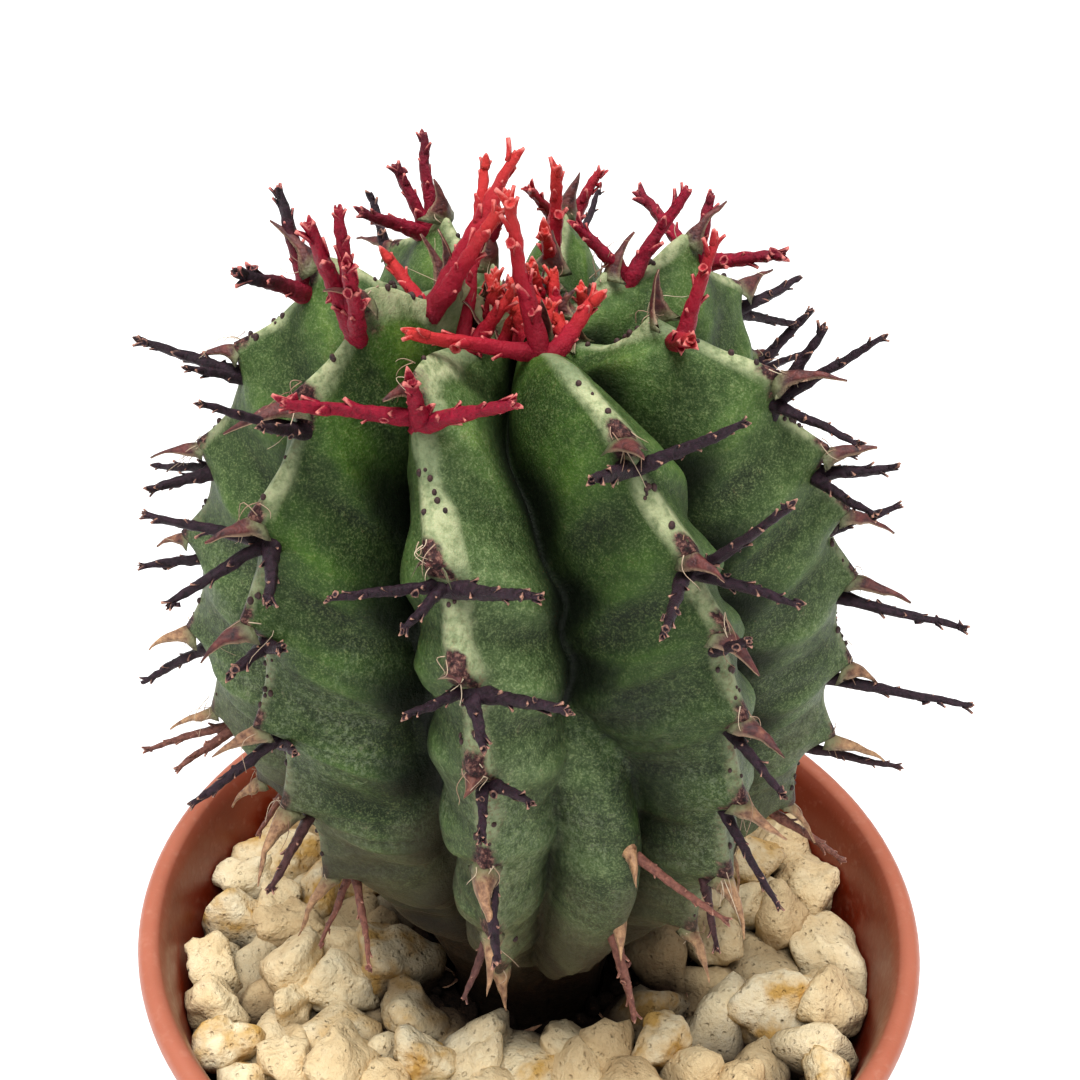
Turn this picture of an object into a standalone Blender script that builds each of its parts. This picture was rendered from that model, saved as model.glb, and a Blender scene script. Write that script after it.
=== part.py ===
"""A young african milk barrel, a ribbed and spiny succulent, in a small plastic nursery pot.

The origin is the middle of the pot's underside, +Z is up, and the plant's best side faces -Y.
Sizes are in millimetres, and MM turns them into metres where a mesh is made.
"""

import math
import random

import bmesh
import bpy
import numpy as np
from mathutils import Euler, Vector

MM = 0.001
GAP = 0.3

# Pot: a thin tapered shell with a rolled rim and drain holes in its floor
POT_HEIGHT = 50.0
RIM_RADIUS = 27.5
RIM_BEAD = 0.8
POT_WALL = 0.9
BASE_RADIUS = 19.5
BASE_CORNER = 1.5
FLOOR_THICKNESS = 1.2
POT_SIDES = 44
RIM_TURNS = (-60, -20, 20, 60, 100, 140)
DRAIN_HOLES = 4
DRAIN_RADIUS = 2.5
DRAIN_CIRCLE = 13.0
DRAIN_SIDES = 16

# Soil, and the top dressing of stones on its bed
GRAVEL_TOP = 44.5
BED_TOP = 42.4
BED_BOTTOM = 40.3
SOIL_TOP = 40.0
ROOT_RADIUS = 5.4
ROOT_END = 30.0
BARE_RADIUS = 8.4
MOUND_TOP = 41.8
MOUND_SLOPE = 0.5
STONE_COUNT = 84
STONE_SIZE = (2.0, 2.8)
STONE_CORNERS = 5
STONE_RINGS = [(0.7, -0.8), (1.0, 0.0), (0.6, 0.7)]
STONE_TILT = 0.4
STONE_LIFT = 0.9
STONE_SEED = 11
GOLDEN_ANGLE = 137.5

# Stem: eight ribs, each a crest line between two furrow lines
STEM_LEAN = -1.0
RIB_COUNT = 8
STEM_ROWS = 41
CROWN_WHORL = 38.0
WHORL_REACH = 18.0
SHOULDER_HEIGHT = 38.0
FOOT_HEIGHT = 16.0
NECK_HEIGHT = 9.0
NECK_PLACE = 13.0

# Radius, and height above the stones, of a rib's crest from the crown down to the root
CREST_LINE = [
    (0.0, 48.5), (5.0, 49.7), (9.5, 51.0), (12.3, 49.9), (14.7, 47.0), (17.0, 42.5),
    (18.7, 37.0), (19.5, 31.0), (19.4, 25.0), (18.4, 19.5), (16.0, 14.5), (12.8, 10.5),
    (9.4, 6.5), (7.0, 2.5), (5.4, -2.5), (5.4, -14.5),
]

# The same for the furrow between two ribs
FURROW_LINE = [
    (0.0, 48.2), (1.5, 46.9), (4.5, 45.6), (7.6, 43.8), (9.8, 41.2), (11.3, 38.0),
    (12.3, 33.8), (12.6, 29.0), (12.3, 24.0), (11.4, 19.0), (10.0, 14.0), (8.6, 9.5),
    (7.3, 6.0), (6.3, 2.5), (5.4, -2.5), (5.4, -14.5),
]

# Each rib: its azimuth in degrees, the reach of its shoulder and of its foot as shares of the
# crest line, its extra height at the shoulder, its share of the crown's whorl, and its teeth
# along the crest from the crown
RIBS = [
    ("front", -95.0, 0.94, 0.91, -0.5, 1.0, [4.4, 12.0, 20.0, 25.5, 31.0, 37.5, 44.0, 50.5]),
    ("front_right", -50.0, 0.96, 0.94, 0.0, 1.0, [5.0, 14.5, 20.5, 25.0, 30.5, 36.5, 42.5, 49.0]),
    ("right", -5.0, 0.99, 1.0, -0.5, 0.8, [8.0, 14.5, 20.0, 24.5, 29.5, 36.0, 42.0, 48.0, 54.0]),
    ("rear_right", 41.0, 1.0, 1.0, 0.5, 0.3, [5.0, 10.5, 16.5, 22.5, 28.5, 34.5, 40.5, 46.5, 52.5]),
    ("rear", 86.0, 1.0, 0.97, 0.5, 0.2, [4.0, 9.5, 15.5, 21.5, 27.5, 33.5, 39.5, 45.5, 51.5]),
    ("rear_left", 127.0, 1.0, 1.0, 0.5, 0.0, [4.5, 9.5, 15.5, 23.0, 29.0, 35.0, 41.0, 47.0, 53.0]),
    ("left", 176.0, 1.05, 1.1, 0.5, 0.0, [5.0, 12.0, 19.0, 26.0, 32.5, 39.5, 46.0, 52.0]),
    ("front_left", 220.0, 0.99, 0.86, 1.8, 0.0, [5.5, 11.0, 17.0, 23.5, 29.5, 36.5, 43.0, 50.0]),
]

# Samples across half a rib, where 1 is the furrow and 0 the crest, and those beside the lobe
FLANK_STEPS = [1.0, 0.8, 0.45, 0.15]
LOBE_STEPS = [1.0, 0.86, 0.7, 0.58, 0.36, 0.13]
FLANK_POWER = 1.35
FLANK_ROUNDING = 0.64
RIPPLE_HEIGHT = 0.35
RIPPLE_PITCH = 5.8
RIPPLE_START = 12.0
FURROW_WANDER = 3.5
WANDER_START = -3.1
WANDER_TURN = 1.35

# A low side lobe fills the foot of the furrow after the front rib
LOBE_FURROW = 0
LOBE_PLACE = 9.5
LOBE_SPREAD = 3.0
LOBE_HEIGHT = 5.2
LOBE_HALF_WIDTH = 0.42
LOBE_SQUEEZE = 0.6
LOBE_SWAY = 8.0
LOBE_TEETH = [8.3, 9.7]
LOBE_CLUSTERS = [[(30, -15, 6.0)], [(10, -40, 5.0)]]

# Teeth along each crest, each ending in a dried leaf
KEEL_SHARE = 0.16
TOOTH_HEIGHT = 1.1
TOOTH_RISE = 3.6
TOOTH_FALL = 1.6
LEAF_LENGTH = 2.9
LEAF_WIDTH = 1.3
LEAF_THICKNESS = 0.8
LEAF_LEAN = -20.0

# Spines: old flower stalks in a cluster under each tooth
SPINE_SIDES = 4
SPINE_DROP = 1.5
SPINE_SINK = 0.9
SPINE_SPREAD = 0.9
SPINE_ROOT_RADIUS = 0.62
SPINE_TIP_RADIUS = 0.36
SPINE_SEED = 5

# Clusters set by hand, by rib and tooth. Each spine has its fan round the stem from straight
# out, its lift towards the crown, both in degrees, and its length in mm
CLUSTERS = {
    "front": [
        [(-15, 10, 10.0), (-62, -5, 6.3), (30, 0, 4.0)],
        [(-40, -15, 6.5), (60, 15, 6.5), (15, 15, 4.0)],
        [(-35, -5, 6.0), (55, 10, 6.0), (-5, -20, 4.0)],
        [(-25, 0, 4.0), (55, 15, 6.0), (20, -10, 4.0)],
        [(10, -5, 4.0), (40, 25, 4.0)],
        [(10, 0, 6.0)],
        [(-15, -20, 4.0)],
        [],
    ],
    "front_right": [
        [(-15, -15, 8.5), (-80, -20, 6.5), (40, 5, 3.5)],
        [(32, 10, 6.2), (-42, -5, 4.5)],
        [(12, 30, 8.0), (15, -8, 6.2), (-42, -8, 7.0)],
        [(-15, 25, 4.0)],
        [(-10, -5, 5.0)],
        [(-18, -10, 6.6)],
        [(-30, -10, 4.0)],
        [],
    ],
    "right": [
        [(8, -15, 5.5), (-65, -30, 4.5)],
        [(0, 35, 5.0), (-5, 10, 7.0), (-35, -22, 6.0)],
        [(-10, -5, 4.5), (-57, -3, 5.8)],
        [(8, 10, 4.0)],
        [(-20, -5, 7.5)],
        [(-8, -2, 8.5)],
        [(0, 5, 6.0)],
        [(0, 0, 6.8)],
        [],
    ],
    "rear_right": [
        [(5, 20, 5.0), (-12, -42, 6.0)],
        [(70, 5, 6.0), (8, 8, 3.5), (-70, 0, 5.5)],
        [(-10, -15, 5.0), (-5, -50, 5.5)],
        [(-15, 30, 6.0), (-10, -5, 5.0)],
    ],
    "rear": [
        [(0, -15, 6.2), (0, 20, 4.0)],
        [(-25, 0, 3.5), (35, 60, 4.5)],
        [(-15, 5, 6.0)],
    ],
    "rear_left": [
        [(0, 10, 4.0)],
        [(-3, 3, 5.5), (20, 0, 4.0), (62, 0, 4.2)],
        [(5, 25, 5.0)],
    ],
    "left": [
        [],
        [(-12, 22, 5.5), (48, -2, 5.3)],
        [(12, -5, 6.0), (38, -2, 3.5)],
        [(-12, -26, 3.8), (30, -20, 3.6)],
        [(20, -10, 3.6)],
        [(0, -28, 5.5)],
        [(3, 2, 6.6), (38, -2, 4.5)],
        [(20, -20, 4.0)],
    ],
    "front_left": [
        [(8, 12, 8.5), (26, -2, 6.2)],
        [(2, 15, 6.2), (10, 25, 6.8), (32, 12, 6.0)],
        [(2, 0, 6.2), (30, 2, 5.0)],
        [(-30, 0, 6.0), (5, -25, 6.0), (60, -20, 4.0)],
        [(75, 30, 3.5), (30, 0, 3.5)],
        [(75, 35, 3.0), (0, -18, 6.0)],
        [(35, 5, 5.5)],
        [(5, -35, 5.0), (60, -10, 6.0)],
    ],
}


def smooth_line(points, place):
    """Read a smooth curve through the points, where place counts them from 0."""
    points = np.asarray(points, dtype=float)
    last = len(points) - 1
    place = np.clip(np.asarray(place, dtype=float), 0.0, last)
    first = np.minimum(place.astype(int), last - 1)
    part = (place - first)[..., None]
    before = points[np.maximum(first - 1, 0)]
    start = points[first]
    end = points[first + 1]
    after = points[np.minimum(first + 2, last)]
    return 0.5 * (
        2 * start
        + (end - before) * part
        + (2 * before - 5 * start + 4 * end - after) * part**2
        + (3 * start - before - 3 * end + after) * part**3
    )


class Rib:
    """One rib's crest line, the way along it in millimetres, and its teeth."""

    def __init__(self, name, azimuth, reach, foot, rise, whorl, teeth):
        self.name = name
        self.azimuth = azimuth
        self.reach = reach
        self.foot = foot
        self.rise = rise
        self.whorl = whorl
        self.teeth = teeth
        self.places = np.linspace(0.0, len(CREST_LINE) - 1, 601)
        line = self.crest(self.places)
        steps = np.hypot(np.diff(line[:, 0]), np.diff(line[:, 1]))
        self.lengths = np.concatenate([[0.0], np.cumsum(steps)])

    def crest(self, place):
        """The crest's radius and height at a place on the crest line."""
        line = smooth_line(CREST_LINE, place)
        height = line[..., 1]
        upper = np.clip((height - FOOT_HEIGHT) / (SHOULDER_HEIGHT - FOOT_HEIGHT), 0.0, 1.0)
        scale = (self.reach - 1.0) * upper + (self.foot - 1.0) * (1.0 - upper)
        radius = line[..., 0] * (1.0 + scale * np.clip(height / NECK_HEIGHT, 0.0, 1.0))
        return np.stack([radius, height + self.rise * upper**2], axis=-1)

    def place_at(self, along):
        return np.interp(along, self.lengths, self.places)

    def along_at(self, place):
        return np.interp(place, self.places, self.lengths)

    def azimuth_at(self, along):
        """The crest's azimuth, which whorls round near the crown."""
        whorl = self.whorl * CROWN_WHORL
        return self.azimuth - whorl * np.exp(-((along / WHORL_REACH) ** 2))

    def outward(self, along):
        """The crest's outward direction at a distance along it, as radius and height."""
        above = self.crest(self.place_at(along - 0.5))
        below = self.crest(self.place_at(along + 0.5))
        step = below - above
        return np.array([-step[1], step[0]]) / np.hypot(step[0], step[1])


def tooth_height(rib, along):
    """How far the teeth stand out from the crest at distances along it."""
    height = np.zeros_like(along)
    for tooth in rib.teeth:
        offset = along - tooth
        rising = np.clip(1.0 + offset / TOOTH_RISE, 0.0, 1.0) ** 1.6
        falling = np.clip(1.0 - offset / TOOTH_FALL, 0.0, 1.0)
        height = np.maximum(height, np.where(offset < 0.0, rising, falling))
    return TOOTH_HEIGHT * height


def lean_at(height):
    """How far the stem's middle lies to the side of the pot's at a height above the stones."""
    return STEM_LEAN * np.clip(height / SHOULDER_HEIGHT, 0.0, 1.0) ** 0.5


def furrow_azimuth(ribs, index, place):
    """The azimuth of the furrow after a rib: midway to the next one, wandering a little."""
    rib = ribs[index]
    following = ribs[(index + 1) % RIB_COUNT]
    lap = 360.0 if index == RIB_COUNT - 1 else 0.0
    along = rib.along_at(place)
    middle = 0.5 * (rib.azimuth_at(along) + following.azimuth_at(along) + lap)
    fade = np.clip(place / 4.0, 0.0, 1.0)
    lobe = lobe_share(index, place)
    wander = FURROW_WANDER * fade * np.sin(1.1 * place + WANDER_TURN * index + WANDER_START)
    sway = LOBE_SWAY * lobe * (LOBE_PLACE + 0.5 * LOBE_SPREAD - place) / LOBE_SPREAD
    return middle + wander * (1.0 - lobe) + sway


def lobe_share(furrow, place):
    """How full the side lobe is at places along a furrow."""
    if furrow != LOBE_FURROW:
        return np.zeros_like(place)
    return np.clip(1.0 - ((place - LOBE_PLACE) / LOBE_SPREAD) ** 2, 0.0, 1.0)


def flank_point(ribs, index, side, step, place):
    """Points of the stem on one side of a rib, from its crest at step 0 to the furrow at 1."""
    rib = ribs[index]
    furrow = index if side > 0 else (index - 1) % RIB_COUNT
    along = rib.along_at(place)
    crest_azimuth = rib.azimuth_at(along)
    valley_azimuth = furrow_azimuth(ribs, furrow, place)
    if side < 0 and index == 0:
        valley_azimuth = valley_azimuth - 360.0
    crest = rib.crest(place)
    outward_radius = np.gradient(crest[:, 1], place)
    outward_height = -np.gradient(crest[:, 0], place)
    size = np.hypot(outward_radius, outward_height)
    outward = -np.stack([outward_radius, outward_height], axis=-1) / size[:, None]
    furrow_point = smooth_line(FURROW_LINE, place)

    lobe = lobe_share(furrow, place)
    reach = np.minimum(step * (1.0 + LOBE_SQUEEZE * lobe), 1.0)
    fullness = (1.0 - reach**FLANK_POWER) ** FLANK_ROUNDING
    point = furrow_point + (crest - furrow_point) * fullness[:, None]

    keel = np.exp(-((step / KEEL_SHARE) ** 2))
    ripple = np.sin(2.0 * math.pi * along / RIPPLE_PITCH) * math.sin(math.pi * step)
    ripple = ripple * RIPPLE_HEIGHT * np.clip(along / RIPPLE_START, 0.0, 1.0) * (place < NECK_PLACE)
    point = point + outward * (keel * tooth_height(rib, along) + ripple)[:, None]

    inner = min(max((1.0 - step) / LOBE_HALF_WIDTH, 0.0), 1.0)
    lobe_height = LOBE_HEIGHT * lobe * (1.0 - inner**2) ** 0.7
    point[:, 0] = np.maximum(point[:, 0], furrow_point[:, 0] + lobe_height)

    azimuth = np.radians(crest_azimuth + (valley_azimuth - crest_azimuth) * step)
    return np.stack([
        lean_at(point[:, 1]) + point[:, 0] * np.cos(azimuth),
        point[:, 0] * np.sin(azimuth),
        GRAVEL_TOP + point[:, 1],
    ], axis=-1)


def flank_steps(furrow):
    return LOBE_STEPS if furrow == LOBE_FURROW else FLANK_STEPS


def stem_columns(ribs):
    """Every column of the stem, round from the furrow before the first rib."""
    guide = ribs[2]
    along = np.linspace(0.0, guide.lengths[-1], STEM_ROWS + 1)
    place = guide.place_at(along)
    columns = []
    for index in range(RIB_COUNT):
        for step in flank_steps((index - 1) % RIB_COUNT):
            columns.append(flank_point(ribs, index, -1, step, place))
        columns.append(flank_point(ribs, index, 1, 0.0, place))
        for step in reversed(flank_steps(index)[1:]):
            columns.append(flank_point(ribs, index, 1, step, place))
    return np.array(columns)


def new_object(name, vertices, faces):
    """A closed mesh object from points in millimetres, with its faces pointing out."""
    mesh = bpy.data.meshes.new(name)
    mesh.from_pydata([tuple(float(c) * MM for c in vertex) for vertex in vertices], [], faces)
    bm = bmesh.new()
    bm.from_mesh(mesh)
    bmesh.ops.recalc_face_normals(bm, faces=bm.faces)
    bm.to_mesh(mesh)
    bm.free()
    shape = bpy.data.objects.new(name, mesh)
    bpy.context.scene.collection.objects.link(shape)
    return shape


def ring_faces(rings, sides):
    """Faces that join rings of points in turn, with the first and last closed."""
    faces = [tuple(range(sides))]
    for ring in range(rings - 1):
        for side in range(sides):
            beside = (side + 1) % sides
            low = ring * sides
            faces.append((low + side, low + beside, low + sides + beside, low + sides + side))
    faces.append(tuple(range((rings - 1) * sides, rings * sides)))
    return faces


def make_stem(ribs):
    columns = stem_columns(ribs)
    sides = len(columns)
    top = columns[:, 0].mean(axis=0)
    bottom = columns[:, -1].mean(axis=0)
    vertices = [top]
    for row in range(1, STEM_ROWS + 1):
        vertices.extend(columns[:, row])
    vertices.append(bottom)
    faces = []
    for side in range(sides):
        beside = (side + 1) % sides
        faces.append((0, 1 + side, 1 + beside))
        for row in range(STEM_ROWS - 1):
            upper = 1 + row * sides
            lower = upper + sides
            faces.append((upper + side, lower + side, lower + beside, upper + beside))
        last = 1 + (STEM_ROWS - 1) * sides
        faces.append((last + side, len(vertices) - 1, last + beside))
    return new_object("plant", vertices, faces)


def crest_frame(rib, along):
    """A point on a crest, its outward direction, its upward one, and the one round the stem."""
    radius, height = rib.crest(rib.place_at(along))
    azimuth = math.radians(float(rib.azimuth_at(along)))
    out_radius, out_height = rib.outward(along)
    level = Vector((math.cos(azimuth), math.sin(azimuth), 0.0))
    point = Vector((lean_at(height), 0.0, GRAVEL_TOP + height)) + level * radius
    outward = level * out_radius + Vector((0.0, 0.0, out_height))
    round_stem = Vector((-math.sin(azimuth), math.cos(azimuth), 0.0))
    return point, outward, outward.cross(round_stem), round_stem


def lobe_frame(ribs, place):
    """The same on the side lobe's crest, at a place along its furrow."""
    spots = place + np.array([-0.1, 0.0, 0.1])
    above, point, below = [Vector(p) for p in flank_point(ribs, LOBE_FURROW, 1, 1.0, spots)]
    round_stem = Vector((-point.y, point.x, 0.0)).normalized()
    outward = (below - above).cross(round_stem).normalized()
    return point, outward, outward.cross(round_stem), round_stem


def aim(outward, upward, round_stem, fan, lift):
    """A direction fanned round the stem and lifted towards the crown, in degrees."""
    fan = math.radians(fan)
    lift = math.radians(lift)
    level = outward * math.cos(fan) + round_stem * math.sin(fan)
    return level * math.cos(lift) + upward * math.sin(lift)


def tapered(name, root, direction, length, radii, sides):
    """A closed tapering rod with one ring of points for each radius."""
    across = direction.orthogonal().normalized()
    beside = direction.cross(across)
    vertices = []
    for ring, radius in enumerate(radii):
        centre = root + direction * (length * ring / (len(radii) - 1))
        for side in range(sides):
            turn = 2.0 * math.pi * side / sides
            vertices.append(centre + (across * math.cos(turn) + beside * math.sin(turn)) * radius)
    return new_object(name, vertices, ring_faces(len(radii), sides))


def make_leaf(frame, height):
    """The dried leaf at a tooth's tip, a thin pointed blade that leans down."""
    point, outward, upward, round_stem = frame
    direction = aim(outward, upward, round_stem, 0.0, LEAF_LEAN)
    root = point + outward * (height - SPINE_SINK)
    tip = root + direction * (LEAF_LENGTH + SPINE_SINK)
    side = round_stem * (LEAF_WIDTH / 2)
    ridge = direction.cross(round_stem) * LEAF_THICKNESS
    vertices = [root - side, root + side, root + ridge, tip]
    return new_object("leaf", vertices, [(0, 1, 2), (0, 1, 3), (1, 2, 3), (2, 0, 3)])


def make_cluster(frame, spines):
    """Spines that fan out of one spot, each with its root sunk in the stem."""
    point, outward, upward, round_stem = frame
    radii = [SPINE_ROOT_RADIUS, SPINE_TIP_RADIUS]
    shapes = []
    for fan, lift, length in spines:
        direction = aim(outward, upward, round_stem, fan, lift)
        aside = round_stem * (SPINE_SPREAD * math.sin(math.radians(fan)))
        start = point + aside - direction * SPINE_SINK
        shapes.append(tapered("spine", start, direction, length + SPINE_SINK, radii, SPINE_SIDES))
    return shapes


def drawn_cluster(dice):
    """Two or three fanned spines, for a cluster that isn't set by hand."""
    spread = dice.uniform(35.0, 55.0)
    fans = np.linspace(-spread, spread, dice.choice([2, 2, 3]))
    return [(fan, dice.uniform(-20.0, 15.0), dice.uniform(4.5, 7.0)) for fan in fans]


def make_spines(ribs):
    """Every dried leaf and spine, as separate shapes."""
    dice = random.Random(SPINE_SEED)
    shapes = []
    for rib in ribs:
        placed = CLUSTERS[rib.name]
        for index, tooth in enumerate(rib.teeth):
            drawn = drawn_cluster(dice)
            spines = placed[index] if index < len(placed) else drawn
            shapes.append(make_leaf(crest_frame(rib, tooth), TOOTH_HEIGHT))
            shapes.extend(make_cluster(crest_frame(rib, tooth + SPINE_DROP), spines))
    for place, spines in zip(LOBE_TEETH, LOBE_CLUSTERS):
        shapes.append(make_leaf(lobe_frame(ribs, place - 0.3), 0.0))
        shapes.extend(make_cluster(lobe_frame(ribs, place), spines))
    return shapes


def unite(base, shapes):
    """Join shapes to a base solid with one union, and remove them."""
    group = bpy.data.collections.new("repeats")
    bpy.context.scene.collection.children.link(group)
    for shape in shapes:
        bpy.context.scene.collection.objects.unlink(shape)
        group.objects.link(shape)
    union = base.modifiers.new("union", "BOOLEAN")
    union.operation = "UNION"
    union.operand_type = "COLLECTION"
    union.collection = group
    union.solver = "MANIFOLD"
    graph = bpy.context.evaluated_depsgraph_get()
    mesh = bpy.data.meshes.new_from_object(base.evaluated_get(graph))
    base.modifiers.clear()
    base.data = mesh
    for shape in shapes:
        bpy.data.objects.remove(shape)
    bpy.data.collections.remove(group)
    return base


def turned(name, profile, sides):
    """A solid of revolution about +Z from a profile that starts and ends on the axis."""
    vertices = [(0.0, 0.0, profile[0][1])]
    for radius, height in profile[1:-1]:
        for side in range(sides):
            turn = 2.0 * math.pi * side / sides
            vertices.append((radius * math.cos(turn), radius * math.sin(turn), height))
    vertices.append((0.0, 0.0, profile[-1][1]))
    faces = []
    rings = len(profile) - 2
    for side in range(sides):
        beside = (side + 1) % sides
        faces.append((0, 1 + beside, 1 + side))
        for ring in range(rings - 1):
            low = 1 + ring * sides
            faces.append((low + side, low + beside, low + sides + beside, low + sides + side))
        last = 1 + (rings - 1) * sides
        faces.append((last + side, last + beside, len(vertices) - 1))
    return new_object(name, vertices, faces)


def wall_radius(height):
    """The pot's outer radius at a height, below the rim."""
    return BASE_RADIUS + (RIM_RADIUS - RIM_BEAD - BASE_RADIUS) * height / POT_HEIGHT


def make_pot():
    """The pot's shell, rolled over at the rim and holed in the floor."""
    bead_centre = RIM_RADIUS - RIM_BEAD
    profile = [(0.0, 0.0), (BASE_RADIUS - BASE_CORNER, 0.0)]
    profile.append((BASE_RADIUS - 0.3 * BASE_CORNER, 0.3 * BASE_CORNER))
    profile.append((wall_radius(BASE_CORNER), BASE_CORNER))
    profile.append((wall_radius(POT_HEIGHT - 2 * RIM_BEAD), POT_HEIGHT - 2 * RIM_BEAD))
    for turn in RIM_TURNS:
        angle = math.radians(turn)
        radius = bead_centre + RIM_BEAD * math.cos(angle)
        profile.append((radius, POT_HEIGHT - RIM_BEAD + RIM_BEAD * math.sin(angle)))
    inner = wall_radius(POT_HEIGHT - 2 * RIM_BEAD) - POT_WALL
    profile.append((inner, POT_HEIGHT - 2 * RIM_BEAD))
    profile.append((wall_radius(FLOOR_THICKNESS) - POT_WALL, FLOOR_THICKNESS))
    profile.append((0.0, FLOOR_THICKNESS))
    pot = turned("pot", profile, POT_SIDES)
    for hole in range(DRAIN_HOLES):
        turn = 2.0 * math.pi * (hole + 0.5) / DRAIN_HOLES
        place = Vector((DRAIN_CIRCLE * math.cos(turn), DRAIN_CIRCLE * math.sin(turn), -1.0))
        radii = [DRAIN_RADIUS, DRAIN_RADIUS]
        drill = tapered("drill", place, Vector((0, 0, 1)), FLOOR_THICKNESS + 2.0, radii, DRAIN_SIDES)
        drill.hide_render = True
        drill.display_type = "WIRE"
        cut = pot.modifiers.new("drain_hole", "BOOLEAN")
        cut.operation = "DIFFERENCE"
        cut.object = drill
    return pot


def inner_radius(height):
    """The radius that soil and stones may fill inside the pot at a height."""
    return wall_radius(height) - POT_WALL - GAP


def make_soil():
    """The soil plug, heaped round the root neck, which stands in a plain blind hole."""
    floor = FLOOR_THICKNESS + GAP
    hole = ROOT_RADIUS + GAP
    mound = BARE_RADIUS - GAP
    profile = [(0.0, floor), (inner_radius(floor), floor), (inner_radius(SOIL_TOP), SOIL_TOP)]
    profile += [(mound, SOIL_TOP), (mound - MOUND_SLOPE, MOUND_TOP), (hole, MOUND_TOP)]
    profile += [(hole, ROOT_END - GAP), (0.0, ROOT_END - GAP)]
    return turned("potting_soil", profile, POT_SIDES)


def make_stone(dice, place, size):
    """A squat stone with uneven corners, tilted, and pushed clear of the wall and the bare soil."""
    tilt = Euler([dice.uniform(-STONE_TILT, STONE_TILT) for _ in range(2)] + [0.0]).to_matrix()
    spin = Euler((0.0, 0.0, dice.uniform(0.0, math.pi))).to_matrix()
    stretch = dice.uniform(0.75, 1.0)
    points = []
    for share, height in STONE_RINGS:
        for corner in range(STONE_CORNERS):
            angle = 2.0 * math.pi * corner / STONE_CORNERS
            radius = share * dice.uniform(0.85, 1.1)
            point = Vector((radius * math.cos(angle), stretch * radius * math.sin(angle), height))
            point = tilt @ spin @ point * size + Vector(place)
            point.z = max(point.z, BED_BOTTOM + GAP)
            points.append(point)
    outer = max(Vector(p[:2]).length - inner_radius(p[2]) for p in points)
    inner = max(BARE_RADIUS - Vector(p[:2]).length for p in points)
    level = Vector((place[0], place[1], 0.0)).normalized()
    shift = level * (max(inner, 0.0) - max(outer, 0.0))
    return new_object("stone", [p + shift for p in points], ring_faces(len(STONE_RINGS), STONE_CORNERS))


def make_gravel():
    """A thin bed round a patch of bare soil, with a spiral of stones standing out of it."""
    dice = random.Random(STONE_SEED)
    corners = [(BARE_RADIUS, BED_BOTTOM), (inner_radius(BED_BOTTOM), BED_BOTTOM)]
    corners += [(inner_radius(BED_TOP), BED_TOP), (BARE_RADIUS, BED_TOP)]
    vertices = []
    for radius, height in corners:
        for side in range(POT_SIDES):
            turn = 2.0 * math.pi * side / POT_SIDES
            vertices.append((radius * math.cos(turn), radius * math.sin(turn), height))
    faces = []
    for ring in range(len(corners)):
        here = ring * POT_SIDES
        beyond = (ring + 1) % len(corners) * POT_SIDES
        for side in range(POT_SIDES):
            beside = (side + 1) % POT_SIDES
            faces.append((here + side, here + beside, beyond + beside, beyond + side))
    bed = new_object("gravel", vertices, faces)
    stones = []
    clear = BARE_RADIUS + 0.5 * STONE_SIZE[0]
    edge = inner_radius(BED_TOP) - STONE_SIZE[0] / 2
    for index in range(STONE_COUNT):
        share = index / (STONE_COUNT - 1)
        radius = math.sqrt(clear**2 + (edge**2 - clear**2) * share)
        turn = math.radians(GOLDEN_ANGLE) * index
        height = BED_TOP + dice.uniform(0.0, STONE_LIFT)
        place = (radius * math.cos(turn), radius * math.sin(turn), height)
        stones.append(make_stone(dice, place, dice.uniform(*STONE_SIZE)))
    return unite(bed, stones)


def make_material(name, colour, roughness):
    material = bpy.data.materials.new(name)
    material.use_nodes = True
    shader = material.node_tree.nodes["Principled BSDF"]
    shader.inputs["Base Color"].default_value = (*colour, 1.0)
    shader.inputs["Roughness"].default_value = roughness
    shader.inputs["Metallic"].default_value = 0.0
    return material


def finish_object(shape, material):
    shape.data.materials.clear()
    shape.data.materials.append(material)
    shape.data.shade_smooth()
    shape.data.set_sharp_from_angle(angle=math.radians(35.0))


def main():
    for shape in list(bpy.data.objects):
        bpy.data.objects.remove(shape)
    ribs = [Rib(*values) for values in RIBS]
    finish_object(make_pot(), make_material("pot_plastic", (0.60, 0.19, 0.11), 0.4))
    finish_object(make_soil(), make_material("soil", (0.045, 0.03, 0.022), 0.95))
    finish_object(make_gravel(), make_material("pumice", (0.70, 0.60, 0.44), 0.9))
    plant = unite(make_stem(ribs), make_spines(ribs))
    finish_object(plant, make_material("plant_skin", (0.13, 0.22, 0.11), 0.55))


main()
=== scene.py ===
"""The look of a young african milk barrel, a ribbed and spiny succulent, in its nursery pot.

Lengths are in millimetres in the part's own frame: the origin is the middle of the pot's
underside, +Z is up and the plant's best side faces -Y. MM turns them into metres.
"""

import itertools
import random
from math import cos, pi, radians, sin, sqrt

import bmesh
import bpy
import numpy as np
from mathutils import Matrix, Vector


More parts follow.
